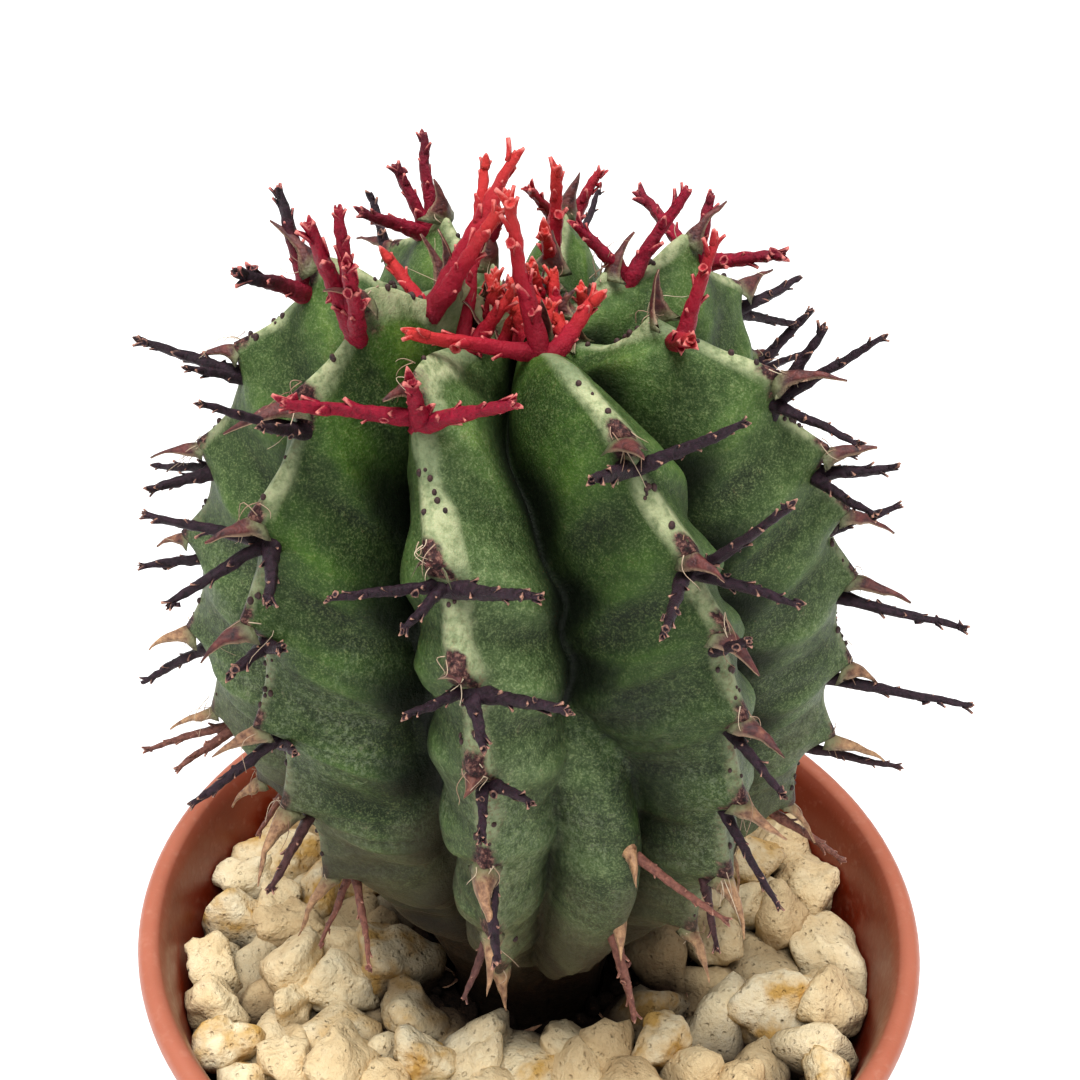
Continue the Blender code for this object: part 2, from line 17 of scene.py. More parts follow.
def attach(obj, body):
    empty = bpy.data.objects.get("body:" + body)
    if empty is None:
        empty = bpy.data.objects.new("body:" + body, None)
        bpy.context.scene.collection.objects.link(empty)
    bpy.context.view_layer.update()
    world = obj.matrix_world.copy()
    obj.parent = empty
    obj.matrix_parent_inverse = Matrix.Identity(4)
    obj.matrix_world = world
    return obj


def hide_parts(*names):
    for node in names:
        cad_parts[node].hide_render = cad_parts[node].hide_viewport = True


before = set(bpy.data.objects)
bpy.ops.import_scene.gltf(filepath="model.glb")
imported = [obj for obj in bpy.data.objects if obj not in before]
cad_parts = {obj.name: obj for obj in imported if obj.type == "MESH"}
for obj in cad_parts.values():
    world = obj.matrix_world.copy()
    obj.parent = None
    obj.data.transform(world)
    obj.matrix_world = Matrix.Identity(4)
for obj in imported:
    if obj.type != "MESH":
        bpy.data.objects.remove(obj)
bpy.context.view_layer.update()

MM = 0.001
SEED = 7

# Pot
POT_HEIGHT = 50.0
RIM_RADIUS = 27.5
RIM_BEAD = 0.8
POT_WALL = 0.9
BASE_RADIUS = 19.5
BASE_CORNER = 1.5
FLOOR_THICKNESS = 1.2
POT_SIDES = 176
MOULD_RINGS = (3.0, 6.5, 16.8)
MOULD_PROFILE = [(-0.4, 0.0), (-0.25, 0.25), (0.25, 0.25), (0.4, 0.0)]
DRAIN_HOLES = 4
DRAIN_RADIUS = 2.5
DRAIN_CIRCLE = 13.0

# Stones, darkened as painted shade round the bare soil in a ring wider than deep, soil crumbs and dried
# litter
GRAVEL_TOP = 44.5
SOIL_TOP = 40.0
BARE_RADIUS = 8.4
STONE_SPAN = 24.8
STONE_COUNT = 165
STONE_RADIUS = (1.7, 3.1)
STONE_HEIGHT = 45.9
START_HEIGHT = (41.0, 46.0)
STONE_PACKING = 0.84
SETTLE_ROUNDS = 260
SETTLE_STEP = 0.06
FINE_ABOVE = 42.6
SHADE_RING_STRETCH = 1.3
SHADE_RING_WIDTH = 2.2
CRUMB_COUNT = 420
CRUMB_RADIUS = (0.3, 0.95)
CRUMBS_NEAR = 0.55
CRUMB_RING = (6.0, 11.0)
LITTER_COUNT = 90
LITTER_HEIGHT = 42.2
LITTER_RING = (6.5, 12.0)
LITTER_LENGTH = (1.0, 2.8)

# Stem: the ribs of the part, with finer relief, and lines of radius and height above the stones
STEM_LEAN = -1.0
CROWN_WHORL = 38.0
WHORL_REACH = 18.0
SHOULDER_HEIGHT = 38.0
FOOT_HEIGHT = 16.0
NECK_HEIGHT = 9.0
NECK_PLACE = 13.0
CREST_LINE = [
    (0.0, 48.5), (5.0, 49.7), (9.5, 51.0), (12.3, 49.9), (14.7, 47.0), (17.0, 42.5),
    (18.7, 37.0), (19.5, 31.0), (19.4, 25.0), (18.4, 19.5), (16.0, 14.5), (12.8, 10.5),
    (9.4, 6.5), (7.0, 2.5), (5.4, -2.5), (5.4, -14.5),
]
FURROW_LINE = [
    (0.0, 48.2), (1.5, 46.9), (4.5, 45.6), (7.6, 43.8), (9.8, 41.2), (11.3, 38.0),
    (12.3, 33.8), (12.6, 29.0), (12.3, 24.0), (11.4, 19.0), (10.0, 14.0), (8.6, 9.5),
    (7.3, 6.0), (6.3, 2.5), (5.4, -2.5), (5.4, -14.5),
]

# Each rib: azimuth, reach of its shoulder and foot, rise, whorl, the half-width of its pale
# crest, the grey bloom on its clockwise and other flanks, and its teeth along the crest
RIBS = [
    ("front", -95.0, 0.94, 0.91, -0.5, 1.0, 1.5, (0.5, 1.3),
     [4.4, 12.0, 20.0, 25.5, 31.0, 37.5, 44.0, 50.5]),
    ("front_right", -50.0, 0.96, 0.94, 0.0, 1.0, 0.7, (0.1, 0.5),
     [5.0, 14.5, 20.5, 25.0, 30.5, 36.5, 42.5, 49.0]),
    ("right", -5.0, 0.99, 1.0, -0.5, 0.8, 0.6, (0.75, 0.6),
     [8.0, 14.5, 20.0, 24.5, 29.5, 36.0, 42.0, 48.0, 54.0]),
    ("rear_right", 41.0, 1.0, 1.0, 0.5, 0.3, 0.65, (0.8, 0.5),
     [5.0, 10.5, 16.5, 22.5, 28.5, 34.5, 40.5, 46.5, 52.5]),
    ("rear", 86.0, 1.0, 0.97, 0.5, 0.2, 0.65, (0.7, 0.5),
     [4.0, 9.5, 15.5, 21.5, 27.5, 33.5, 39.5, 45.5, 51.5]),
    ("rear_left", 127.0, 1.0, 1.0, 0.5, 0.0, 0.65, (0.5, 0.7),
     [4.5, 9.5, 15.5, 23.0, 29.0, 35.0, 41.0, 47.0, 53.0]),
    ("left", 176.0, 1.05, 1.1, 0.5, 0.0, 0.6, (0.6, 0.6),
     [5.0, 12.0, 19.0, 26.0, 32.5, 39.5, 46.0, 52.0]),
    ("front_left", 220.0, 0.99, 0.86, 1.8, 0.0, 0.55, (0.5, 0.05),
     [5.5, 11.0, 17.0, 23.5, 29.5, 36.5, 43.0, 50.0]),
]

# Ribs with flanks that fall away faster in the upper part, the clockwise flank first
HOLLOWS = {"front": (0.35, 0.0)}

RIB_COUNT = len(RIBS)
RIB_STEPS = 21
VISIBLE_ROWS = 262
VISIBLE_LENGTH = 64.0
ROOT_ROWS = 12
FLANK_POWER = 1.35
FLANK_ROUNDING = 0.64
KEEL_SHARE = 0.16
RIPPLE_HEIGHT = 0.45
RIPPLE_SLANT = 0.35
WRINKLE_HEIGHT = 0.15
WRINKLE_PITCH = 1.9
FURROW_WANDER = 3.5
FURROW_JOG = 1.2
WANDER_START = -3.1
WANDER_TURN = 1.35
CLEFT_DEPTH = 1.3

# The degrees that the last furrow turns by towards its foot
FOOT_TURN = 11.0

# Side lobe in one furrow, with the half-width and squeeze of its anticlockwise side first
LOBE_FURROW = 0
LOBE_PLACE = 9.5
LOBE_SPREAD = 3.0
LOBE_HEIGHT = 5.2
LOBE_HALF_WIDTHS = (0.42, 0.6)
LOBE_SQUEEZES = (0.6, 1.1)
LOBE_SWAY = 8.0
LOBE_TEETH = [8.3, 9.7]
LOBE_CLUSTERS = [[(30, -15, 6.0)], [(10, -40, 5.0)]]

# Teeth on the crests
TOOTH_HEIGHT = 1.4
TOOTH_RISE = 3.4
TOOTH_HOLLOW = 0.2
TOOTH_FALL = 1.6

# Pale stretches above the teeth, with dark dots
STRETCH_LENGTH = 3.6
DOT_RADIUS = (0.08, 0.2)
DOT_SPAN = (0.9, 4.2)
DOT_COUNTS = (2, 3, 5, 7)

# Dried leaves at the teeth, and flower stalks that have hardened to spines below them
LEAF_LEAN = -20.0
LEAF_LENGTH = (2.3, 3.7)
LEAF_WIDTH = 1.35
FRONT_LEAVES = [1.8, 1.8, 0.6, 0.7, 1.4, 3.9, 3.2, 2.6]
SPINE_DROP = 1.5
SPINE_SINK = 0.9
SPINE_SPREAD = 0.9
SPINE_SEED = 5
CUP_PROFILE = [(-0.6, 0.7), (0.2, 0.9), (0.9, 1.15), (0.95, 0.8), (0.45, 0.4)]
CUP_SHARE = 0.1
STALK_RINGS = 24
STALK_SIDES = 14
JOINT_PITCH = 0.95
FIBRE_COUNTS = (2, 4, 6)
FIBRE_RADII = (0.034, 0.012)

# Stalks by age: red ones near the crown, hardened ones from HARD_AGE on, dry ones lower still
HARD_AGE = 0.9
TAPER = (0.42, 0.56)
RED_THICKNESS = (0.76, 0.96)
DARK_THICKNESS = (0.58, 0.84)
YOUNG_REACH = 13.2
OLD_REACH = 40.0
TURNING = {"left": 0.22, "rear_left": 0.2, "rear_right": 0.15}
BUD_COUNT = 22

# Stalks at each tooth from the crown down, as (fan, lift, length) in degrees and millimetres.
# Teeth past the end of a list have theirs drawn.
CLUSTERS = {
    "front": [
        [(-15, 10, 10.0), (-62, -5, 6.3), (30, 0, 4.0)],
        [(-40, -15, 6.5), (60, 15, 6.5), (15, 15, 4.0)],
        [(-35, -5, 6.0), (55, 10, 6.0), (-5, -20, 4.0)],
        [(-25, 0, 4.0), (55, 15, 6.0), (20, -10, 4.0)],
        [(10, -5, 4.0), (40, 25, 4.0)],
        [(10, 0, 6.0)],
        [(-15, -20, 4.0)],
        [],
    ],
    "front_right": [
        [(-15, -15, 8.5), (-80, -20, 6.5), (40, 5, 3.5)],
        [(32, 10, 6.2), (-42, -5, 4.5)],
        [(12, 30, 8.0), (15, -8, 6.2), (-42, -8, 7.0)],
        [(-15, 25, 4.0)],
        [(-10, -5, 5.0)],
        [(-18, -10, 6.6)],
        [(-30, -10, 4.0)],
        [],
    ],
    "right": [
        [(8, -15, 5.5), (-65, -30, 4.5)],
        [(0, 35, 5.0), (-5, 10, 7.0), (-35, -22, 6.0)],
        [(-10, -5, 4.5), (-57, -3, 5.8)],
        [(8, 10, 4.0)],
        [(-20, -5, 7.5)],
        [(-8, -2, 8.5)],
        [(0, 5, 6.0)],
        [(0, 0, 6.8)],
        [],
    ],
    "rear_right": [
        [(5, 20, 5.0), (-12, -42, 6.0)],
        [(70, 5, 6.0), (8, 8, 3.5), (-70, 0, 5.5)],
        [(-10, -15, 5.0), (-5, -50, 5.5)],
        [(-15, 30, 6.0), (-10, -5, 5.0)],
    ],
    "rear": [
        [(0, -15, 6.2), (0, 20, 4.0)],
        [(-25, 0, 3.5), (35, 60, 4.5)],
        [(-15, 5, 6.0)],
    ],
    "rear_left": [
        [(0, 10, 4.0)],
        [(-3, 3, 5.5), (20, 0, 4.0), (62, 0, 4.2)],
        [(5, 25, 5.0)],
    ],
    "left": [
        [],
        [(-12, 22, 5.5), (48, -2, 5.3)],
        [(12, -5, 6.0), (38, -2, 3.5)],
        [(-12, -26, 3.8), (30, -20, 3.6)],
        [(20, -10, 3.6)],
        [(0, -28, 5.5)],
        [(3, 2, 6.6), (38, -2, 4.5)],
        [(20, -20, 4.0)],
    ],
    "front_left": [
        [(8, 12, 8.5), (26, -2, 6.2)],
        [(2, 15, 6.2), (10, 25, 6.8), (32, 12, 6.0)],
        [(2, 0, 6.2), (30, 2, 5.0)],
        [(-30, 0, 6.0), (5, -25, 6.0), (60, -20, 4.0)],
        [(75, 30, 3.5), (30, 0, 3.5)],
        [(75, 35, 3.0), (0, -18, 6.0)],
        [(35, 5, 5.5)],
        [(5, -35, 5.0), (60, -10, 6.0)],
    ],
}

# The photograph's camera
CAMERA_PLACE = (-0.2, -78.7, 127.5)
CAMERA_PITCH = 31.5
CAMERA_ROLL = 1.92
FOCAL_PIXELS = 1500.0
IMAGE_PIXELS = 1080.0
SENSOR_WIDTH = 36.0

# Light and floor
FLOOR_GAP = 0.05
WORLD_LIGHT = 0.4
SUN_LIGHT = 4.8
SUN_SPREAD = 42.0
SUN_FROM = (-0.08, -0.2, 1.0)
FLOOR_COLOUR = [0.93, 0.93, 0.93, 1.0]


def shade(red, green, blue):
    """A linear colour from 8-bit screen values."""
    values = [channel / 255.0 for channel in (red, green, blue)]
    return tuple(v / 12.92 if v <= 0.04045 else ((v + 0.055) / 1.055) ** 2.4 for v in values) + (1.0,)


class Tone:
    """An output of a material's node, from which sums, products and further nodes are made."""

    def __init__(self, paint, node, output):
        self.paint = paint
        self.socket = node.outputs[output]

    def calc(self, operation, other):
        node = self.paint.tree.nodes.new("ShaderNodeMath")
        node.operation = operation
        self.paint.put(node.inputs[0], self)
        self.paint.put(node.inputs[1], other)
        return Tone(self.paint, node, "Value")

    def __add__(self, other):
        return self.calc("ADD", other)

    def __mul__(self, other):
        return self.calc("MULTIPLY", other)

    def span(self, low, high, start=0.0, end=1.0):
        """Stretch the part between low and high to run from start to end."""
        limits = {"from_min": low, "from_max": high, "to_min": start, "to_max": end}
        return Tone(self.paint, self.paint.node("MapRange", value=self, **limits), "Result")

    def ramp(self, *stops):
        """A colour read from a row of (place, red, green, blue) stops."""
        node = self.paint.node("ValToRGB", fac=self)
        elements = node.color_ramp.elements
        while len(elements) < len(stops):
            elements.new(0.5)
        for element, (place, *colour) in zip(elements, stops):
            element.position = place
            element.color = shade(*colour)
        return Tone(self.paint, node, "Color")


class Paint:
    """A material being wired, with the colour that its coats build up."""

    def __init__(self, name):
        self.material = bpy.data.materials.new(name)
        self.material.use_nodes = True
        self.tree = self.material.node_tree
        self.place = Tone(self, self.node("TexCoord"), "Object")
        self.colour = None

    def put(self, socket, value):
        """Link an output to a socket or set its own value, where a tuple is an 8-bit colour."""
        if isinstance(value, Tone):
            self.tree.links.new(value.socket, socket)
        else:
            socket.default_value = shade(*value) if isinstance(value, tuple) else value

    def fill(self, node, values):
        """Put values on a node's inputs, named in lower case with underscores."""
        for name, value in values.items():
            self.put(node.inputs[name.replace("_", " ").title().replace("Ior", "IOR")], value)

    def node(self, kind, **values):
        node = self.tree.nodes.new("ShaderNode" + kind)
        self.fill(node, values)
        return node

    def noise(self, size, detail=3.0, rough=0.55):
        """Cloudy noise from 0 to 1 with lumps about size millimetres across."""
        values = {"scale": 1.0 / (size * MM), "detail": detail, "roughness": rough}
        return Tone(self, self.node("TexNoise", vector=self.place, **values), "Fac")

    def cells(self, size):
        """The distance to the nearest of scattered points about size millimetres apart."""
        return Tone(self, self.node("TexVoronoi", vector=self.place, scale=1.0 / (size * MM)), "Distance")

    def value(self, name):
        """A value stored on the mesh's points."""
        node = self.node("Attribute")
        node.attribute_name = name
        return Tone(self, node, "Fac")

    def mix(self, share, first, second):
        """Mix two colours by a share from 0 to 1."""
        node = self.node("Mix")
        node.data_type = "RGBA"
        for index, value in ((0, share), (6, first), (7, second)):
            self.put(node.inputs[index], value)
        return Tone(self, node, 2)

    def bump(self, height, depth, **values):
        """A surface raised by height, from 0 to 1, times depth in millimetres."""
        return Tone(self, self.node("Bump", height=height, distance=depth * MM, **values), "Normal")

    def coat(self, share, colour):
        """Lay a share of a colour, from 0 to 1, over the colour so far."""
        self.colour = self.mix(share, self.colour, colour)

    def finish(self, **values):
        """Put the colour and other values on the shader, and return the material."""
        self.fill(self.tree.nodes["Principled BSDF"], {"base_color": self.colour, **values})
        return self.material


class Heap:
    """Points, faces and point values gathered for one piece."""

    def __init__(self, *names):
        self.points = []
        self.faces = []
        self.values = {name: [] for name in names}
        self.count = 0

    def add(self, points, faces, **values):
        points = np.asarray(points, dtype=float).reshape(-1, 3)
        self.points.append(points)
        self.faces.extend(tuple(corner + self.count for corner in face) for face in faces)
        for name, store in self.values.items():
            flat = np.asarray(values[name], dtype=float).reshape(-1)
            store.append(np.broadcast_to(flat, len(points)) if len(flat) == 1 else flat)
        self.count += len(points)

    def build(self, name, material, slot, *replaced):
        """Make the piece, stand it for the CAD nodes it replaces, and let it ride on the part."""
        mesh = bpy.data.meshes.new(name)
        mesh.from_pydata((np.concatenate(self.points) * MM).tolist(), [], self.faces)
        for value_name, store in self.values.items():
            layer = mesh.attributes.new(value_name, "FLOAT", "POINT")
            layer.data.foreach_set("value", np.concatenate(store).astype(np.float32))
        mesh.shade_smooth()
        mesh.materials.append(material)
        piece = bpy.data.objects.new(name, mesh)
        bpy.context.scene.collection.objects.link(piece)
        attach(piece, "root")
        if replaced:
            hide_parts(*replaced)
        return piece


def lattice_noise(points, size, seed):
    """Smooth noise from -1 to 1, with bumps about size millimetres across."""
    spots = np.asarray(points) / size
    base = np.floor(spots).astype(np.int64)
    part = spots - base
    part = part * part * (3.0 - 2.0 * part)
    total = np.zeros(spots.shape[:-1])
    for corner in itertools.product((0, 1), repeat=3):
        cell = base + np.array(corner)
        mixed = cell[..., 0] * 374761393 + cell[..., 1] * 668265263 + cell[..., 2] * 974634777
        mixed = (mixed + seed * 1274126177) & 0xFFFFFFFF
        mixed = ((mixed ^ (mixed >> 13)) * 1103515245) & 0xFFFFFFFF
        value = (mixed ^ (mixed >> 16)) / 2.0**31 - 1.0
        weight = np.prod(np.where(corner, part, 1.0 - part), axis=-1)
        total += weight * value
    return total


def smooth_step(value, low, high):
    """Rise smoothly from 0 at low to 1 at high."""
    part = np.clip((value - low) / (high - low), 0.0, 1.0)
    return part * part * (3.0 - 2.0 * part)


def grid_faces(rows, columns, closed=True):
    """Faces between rows of points that run round, with the two ends closed."""
    faces = []
    for row in range(rows - 1):
        for column in range(columns):
            beside = (column + 1) % columns
            low = row * columns
            faces.append((low + column, low + beside, low + columns + beside, low + columns + column))
    if closed:
        faces.append(tuple(range(columns - 1, -1, -1)))
        faces.append(tuple(range((rows - 1) * columns, rows * columns)))
    return faces


def unit(vectors):
    return vectors / np.linalg.norm(vectors, axis=-1, keepdims=True)


def tube(path, radii, sides):
    """Rings of points round a path, and their faces."""
    along = unit(np.gradient(path, axis=0))
    guide = np.eye(3)[np.argmin(np.abs(along.mean(axis=0)))]
    across = unit(np.cross(along, guide))
    beside = np.cross(along, across)
    turn = np.linspace(0.0, 2.0 * pi, sides, endpoint=False)[None, :, None]
    ring = across[:, None] * np.cos(turn) + beside[:, None] * np.sin(turn)
    radii = np.asarray(radii).reshape(len(path), -1, 1)
    return path[:, None] + ring * radii, grid_faces(len(path), sides)


def blade(path, across, facing, widths, thickness, cup, columns):
    """Rings round a thin cupped blade along a path, the share of the half-width, and faces."""
    top = np.linspace(-1.0, 1.0, columns)
    share = np.concatenate([top, top[-2:0:-1]])
    side = np.concatenate([np.ones(columns), -np.ones(columns - 2)])
    lift = 0.5 * thickness * side * (1.0 - share**4) + cup * share**2 * widths[:, None]
    rings = path[:, None] + across[:, None] * (0.5 * widths[:, None] * share)[..., None]
    rings = rings + facing[:, None] * lift[..., None]
    edge = np.broadcast_to(np.abs(share), lift.shape)
    return rings, edge, grid_faces(len(path), len(share))


def smooth_line(points, place):
    """Read a smooth curve through the points, where place counts them from 0."""
    points = np.asarray(points, dtype=float)
    last = len(points) - 1
    place = np.clip(np.asarray(place, dtype=float), 0.0, last)
    first = np.minimum(place.astype(int), last - 1)
    part = (place - first)[..., None]
    before = points[np.maximum(first - 1, 0)]
    start = points[first]
    end = points[first + 1]
    after = points[np.minimum(first + 2, last)]
    return 0.5 * (
        2 * start
        + (end - before) * part
        + (2 * before - 5 * start + 4 * end - after) * part**2
        + (3 * start - before - 3 * end + after) * part**3
    )


class Rib:
    """One rib's crest line, the way along it in millimetres, and its teeth."""

    def __init__(self, *values):
        (self.name, self.azimuth, self.reach, self.foot, self.rise, self.whorl, self.band,
         self.bloom, self.teeth) = values
        self.hollow = HOLLOWS.get(self.name, (0.0, 0.0))
        self.places = np.linspace(0.0, len(CREST_LINE) - 1, 601)
        line = self.crest(self.places)
        steps = np.hypot(np.diff(line[:, 0]), np.diff(line[:, 1]))
        self.lengths = np.concatenate([[0.0], np.cumsum(steps)])

    def crest(self, place):
        """The crest's radius and height at a place on the crest line."""
        line = smooth_line(CREST_LINE, place)
        height = line[..., 1]
        upper = np.clip((height - FOOT_HEIGHT) / (SHOULDER_HEIGHT - FOOT_HEIGHT), 0.0, 1.0)
        scale = (self.reach - 1.0) * upper + (self.foot - 1.0) * (1.0 - upper)
        radius = line[..., 0] * (1.0 + scale * np.clip(height / NECK_HEIGHT, 0.0, 1.0))
        return np.stack([radius, height + self.rise * upper**2], axis=-1)

    def place_at(self, along):
        return np.interp(along, self.lengths, self.places)

    def along_at(self, place):
        return np.interp(place, self.places, self.lengths)

    def azimuth_at(self, along):
        """The crest's azimuth, which whorls round near the crown."""
        whorl = self.whorl * CROWN_WHORL
        return self.azimuth - whorl * np.exp(-((along / WHORL_REACH) ** 2))

    def outward(self, along):
        """The crest's outward direction at a distance along it, as radius and height."""
        above = self.crest(self.place_at(along - 0.5))
        below = self.crest(self.place_at(along + 0.5))
        step = below - above
        return np.array([-step[1], step[0]]) / np.hypot(step[0], step[1])

    def beat(self, along):
        """How many teeth lie above a distance along the crest, with fractions between them."""
        stops = [self.teeth[0] - 6.0] + self.teeth + [self.teeth[-1] + 6.0 * k for k in range(1, 5)]
        return np.interp(along, stops, np.arange(len(stops)) - 1.0)

    def tooth_gap(self, along):
        """The distance past the next tooth, negative above it, which runs on 1.2 mm below each."""
        stops = np.array(self.teeth + [self.teeth[-1] + 6.5])
        index = np.searchsorted(stops, np.asarray(along) - 1.2)
        return along - stops[np.minimum(index, len(stops) - 1)]


def tooth_height(rib, along):
    """How far the teeth stand out from the crest at distances along it."""
    height = np.zeros_like(along)
    for tooth in rib.teeth:
        offset = along - tooth
        rising = np.clip(1.0 + offset / TOOTH_RISE, 0.0, 1.0) ** 1.6
        falling = np.clip(1.0 - offset / TOOTH_FALL, 0.0, 1.0)
        height = np.maximum(height, np.where(offset < 0.0, rising, falling))
    return TOOTH_HEIGHT * height


def lean_at(height):
    """How far the stem's middle lies to the side of the pot's at a height above the stones."""
    return STEM_LEAN * np.clip(height / SHOULDER_HEIGHT, 0.0, 1.0) ** 0.5


def lobe_share(furrow, place):
    """How full the side lobe is at places along a furrow."""
    if furrow != LOBE_FURROW:
        return np.zeros_like(place)
    return np.clip(1.0 - ((place - LOBE_PLACE) / LOBE_SPREAD) ** 2, 0.0, 1.0)


def furrow_azimuth(ribs, index, place):
    """The azimuth of the furrow after a rib: midway to the next one, wandering a little."""
    rib = ribs[index]
    following = ribs[(index + 1) % RIB_COUNT]
    lap = 360.0 if index == RIB_COUNT - 1 else 0.0
    along = rib.along_at(place)
    middle = 0.5 * (rib.azimuth_at(along) + following.azimuth_at(along) + lap)
    if index == RIB_COUNT - 1:
        middle = middle + FOOT_TURN * smooth_step(place, 7.0, 9.5)
    fade = np.clip(place / 4.0, 0.0, 1.0)
    lobe = lobe_share(index, place)
    wander = FURROW_WANDER * np.sin(1.1 * place + WANDER_TURN * index + WANDER_START)
    wander = wander + FURROW_JOG * np.sin(2.0 * pi * rib.beat(along))
    sway = LOBE_SWAY * lobe * (LOBE_PLACE + 0.5 * LOBE_SPREAD - place) / LOBE_SPREAD
    return middle + wander * fade * (1.0 - lobe) + sway


def flank(ribs, index, side, step, place):
    """Points on one side of a rib, from its crest at step 0 to the furrow at 1, with their values."""
    rib = ribs[index]
    which = int(side > 0)
    furrow = index if side > 0 else (index - 1) % RIB_COUNT
    along = rib.along_at(place)
    crest_azimuth = rib.azimuth_at(along)
    valley_azimuth = furrow_azimuth(ribs, furrow, place)
    if side < 0 and index == 0:
        valley_azimuth = valley_azimuth - 360.0
    crest = rib.crest(place)
    outward_radius = np.gradient(crest[:, 1], place)
    outward_height = -np.gradient(crest[:, 0], place)
    size = np.hypot(outward_radius, outward_height)
    outward = -np.stack([outward_radius, outward_height], axis=-1) / size[:, None]
    furrow_point = smooth_line(FURROW_LINE, place)

    lobe = lobe_share(furrow, place)
    reach = np.minimum(step * (1.0 + LOBE_SQUEEZES[which] * lobe), 1.0)
    hollow = rib.hollow[which] * (1.0 - smooth_step(place, 7.0, 10.0))
    fullness = (1.0 - reach**FLANK_POWER) ** (FLANK_ROUNDING + hollow)
    point = furrow_point + (crest - furrow_point) * fullness[:, None]

    half_width = np.radians(np.abs(valley_azimuth - crest_azimuth)) * np.maximum(crest[:, 0], 2.0)
    across = step * half_width
    rough = np.stack([across * side + 40.0 * index, along, np.zeros_like(along)], axis=-1)
    gap = rib.tooth_gap(along)
    edge = rib.band * (0.7 + 0.35 * lattice_noise(rough, 1.6, 3))
    edge = edge * (1.0 - 0.35 * smooth_step(along, 22.0, 40.0))
    edge = edge * (1.0 - 1.5 * rib.hollow[which])
    band = 1.0 - smooth_step(across, edge - 0.2, edge + 0.25)
    stretch = smooth_step(gap, -STRETCH_LENGTH - 0.8, -0.6 * STRETCH_LENGTH)
    stretch = stretch * (1.0 - smooth_step(gap, 0.0, 0.5))
    body = np.clip(along / 9.0, 0.0, 1.0) * (1.0 - smooth_step(place, NECK_PLACE - 1.5, NECK_PLACE))

    keel = np.exp(-((step / KEEL_SHARE) ** 2))
    beat = rib.beat(along - RIPPLE_SLANT * across)
    ripple = np.cos(2.0 * pi * beat)
    swell = sin(pi * step**1.3)
    wrinkle = np.sin(2.0 * pi * (along / WRINKLE_PITCH + 0.7 * lattice_noise(rough, 3.5, 8)))
    wrinkle = wrinkle * (0.3 + 0.7 * smooth_step(along, 15.0, 45.0)) * swell
    relief = keel * (tooth_height(rib, along) - TOOTH_HOLLOW * body)
    relief = relief + body * (RIPPLE_HEIGHT * ripple * swell + WRINKLE_HEIGHT * wrinkle)
    relief = relief + 0.1 * band * body + 0.12 * lattice_noise(rough, 2.3, 5) * body
    relief = relief + 0.035 * lattice_noise(rough, 0.8, 6)
    relief = relief - CLEFT_DEPTH * smooth_step(np.float64(step), 0.78, 1.0) * body
    point = point + outward * relief[:, None]

    inner = min(max((1.0 - step) / LOBE_HALF_WIDTHS[which], 0.0), 1.0)
    lobe_height = LOBE_HEIGHT * lobe * (1.0 - inner**2) ** 0.7
    in_lobe = (furrow_point[:, 0] + lobe_height > point[:, 0]) & (lobe > 0)
    point[:, 0] = np.maximum(point[:, 0], furrow_point[:, 0] + lobe_height)

    azimuth = np.radians(crest_azimuth + (valley_azimuth - crest_azimuth) * step)
    position = np.stack([
        lean_at(point[:, 1]) + point[:, 0] * np.cos(azimuth),
        point[:, 0] * np.sin(azimuth),
        GRAVEL_TOP + point[:, 1],
    ], axis=-1)
    scar_edge = (0.3 + 0.25 * rib.band) * np.clip(0.75 + 0.35 * gap, 0.2, 1.2)
    scar = smooth_step(gap, -1.3, -0.7) * (1.0 - smooth_step(gap, 0.9, 1.2))
    scar = scar * (1.0 - smooth_step(across, scar_edge, scar_edge + 0.35)) * smooth_step(along, 9.0, 14.0)
    # Painted shade: the skin darkens towards each furrow, over the side lobe and on the flank beside the
    # lobe
    crease_shade = smooth_step(step + 0.09 * ripple, 0.6, 0.95)
    crease_shade = np.maximum(crease_shade, 0.8 * lobe * smooth_step(reach, 0.5, 0.95))
    if side < 0 and furrow == LOBE_FURROW:
        shadow = 0.34 * smooth_step(along, 10.0, 22.0) + 0.45 * lobe_share(furrow, place + 1.0)
        crease_shade = np.maximum(crease_shade, shadow * smooth_step(np.float64(step), 0.1, 0.6))
    values = {
        "crest": band * (place > 0.4),
        "pale": band * stretch * (place > 0.4) * (1.0 - 0.75 * smooth_step(along, 14.0, 34.0)),
        "painted_shade": np.where(in_lobe, 0.2 + 0.7 * smooth_step(inner, 0.6, 0.95), crease_shade),
        "ripple": 0.5 + 0.34 * ripple * swell * body + 0.26 * wrinkle * body,
        "scar": scar,
        "age": along / 60.0,
        "bloom": np.full_like(place, rib.bloom[which] * (1.0 - 0.6 * step)),
    }
    return position, values


def make_stem(ribs):
    """The stem's ribbed skin, as one closed grid of columns."""
    guide = ribs[2]
    along = np.concatenate([
        np.linspace(0.0, VISIBLE_LENGTH, VISIBLE_ROWS),
        np.linspace(VISIBLE_LENGTH, guide.lengths[-1], ROOT_ROWS + 1)[1:],
    ])
    place = guide.place_at(along)
    steps = np.linspace(0.0, 1.0, RIB_STEPS) ** 1.15
    columns = []
    for index in range(RIB_COUNT):
        for step in steps[:0:-1]:
            columns.append(flank(ribs, index, -1, step, place))
        for step in steps[:-1]:
            columns.append(flank(ribs, index, 1, step, place))
    grid = np.array([position for position, values in columns]).transpose(1, 0, 2)
    rows, sides = grid.shape[:2]
    heap = Heap("crest", "pale", "painted_shade", "ripple", "scar", "age", "bloom")
    stored = {name: np.array([values[name] for position, values in columns]).T for name in heap.values}
    faces = grid_faces(rows, sides, closed=False)
    faces.append(tuple(range((rows - 1) * sides, rows * sides)))
    heap.add(grid, faces, **stored)
    return heap.build("stem_skin", skin_material(), "plant_skin", "plant")


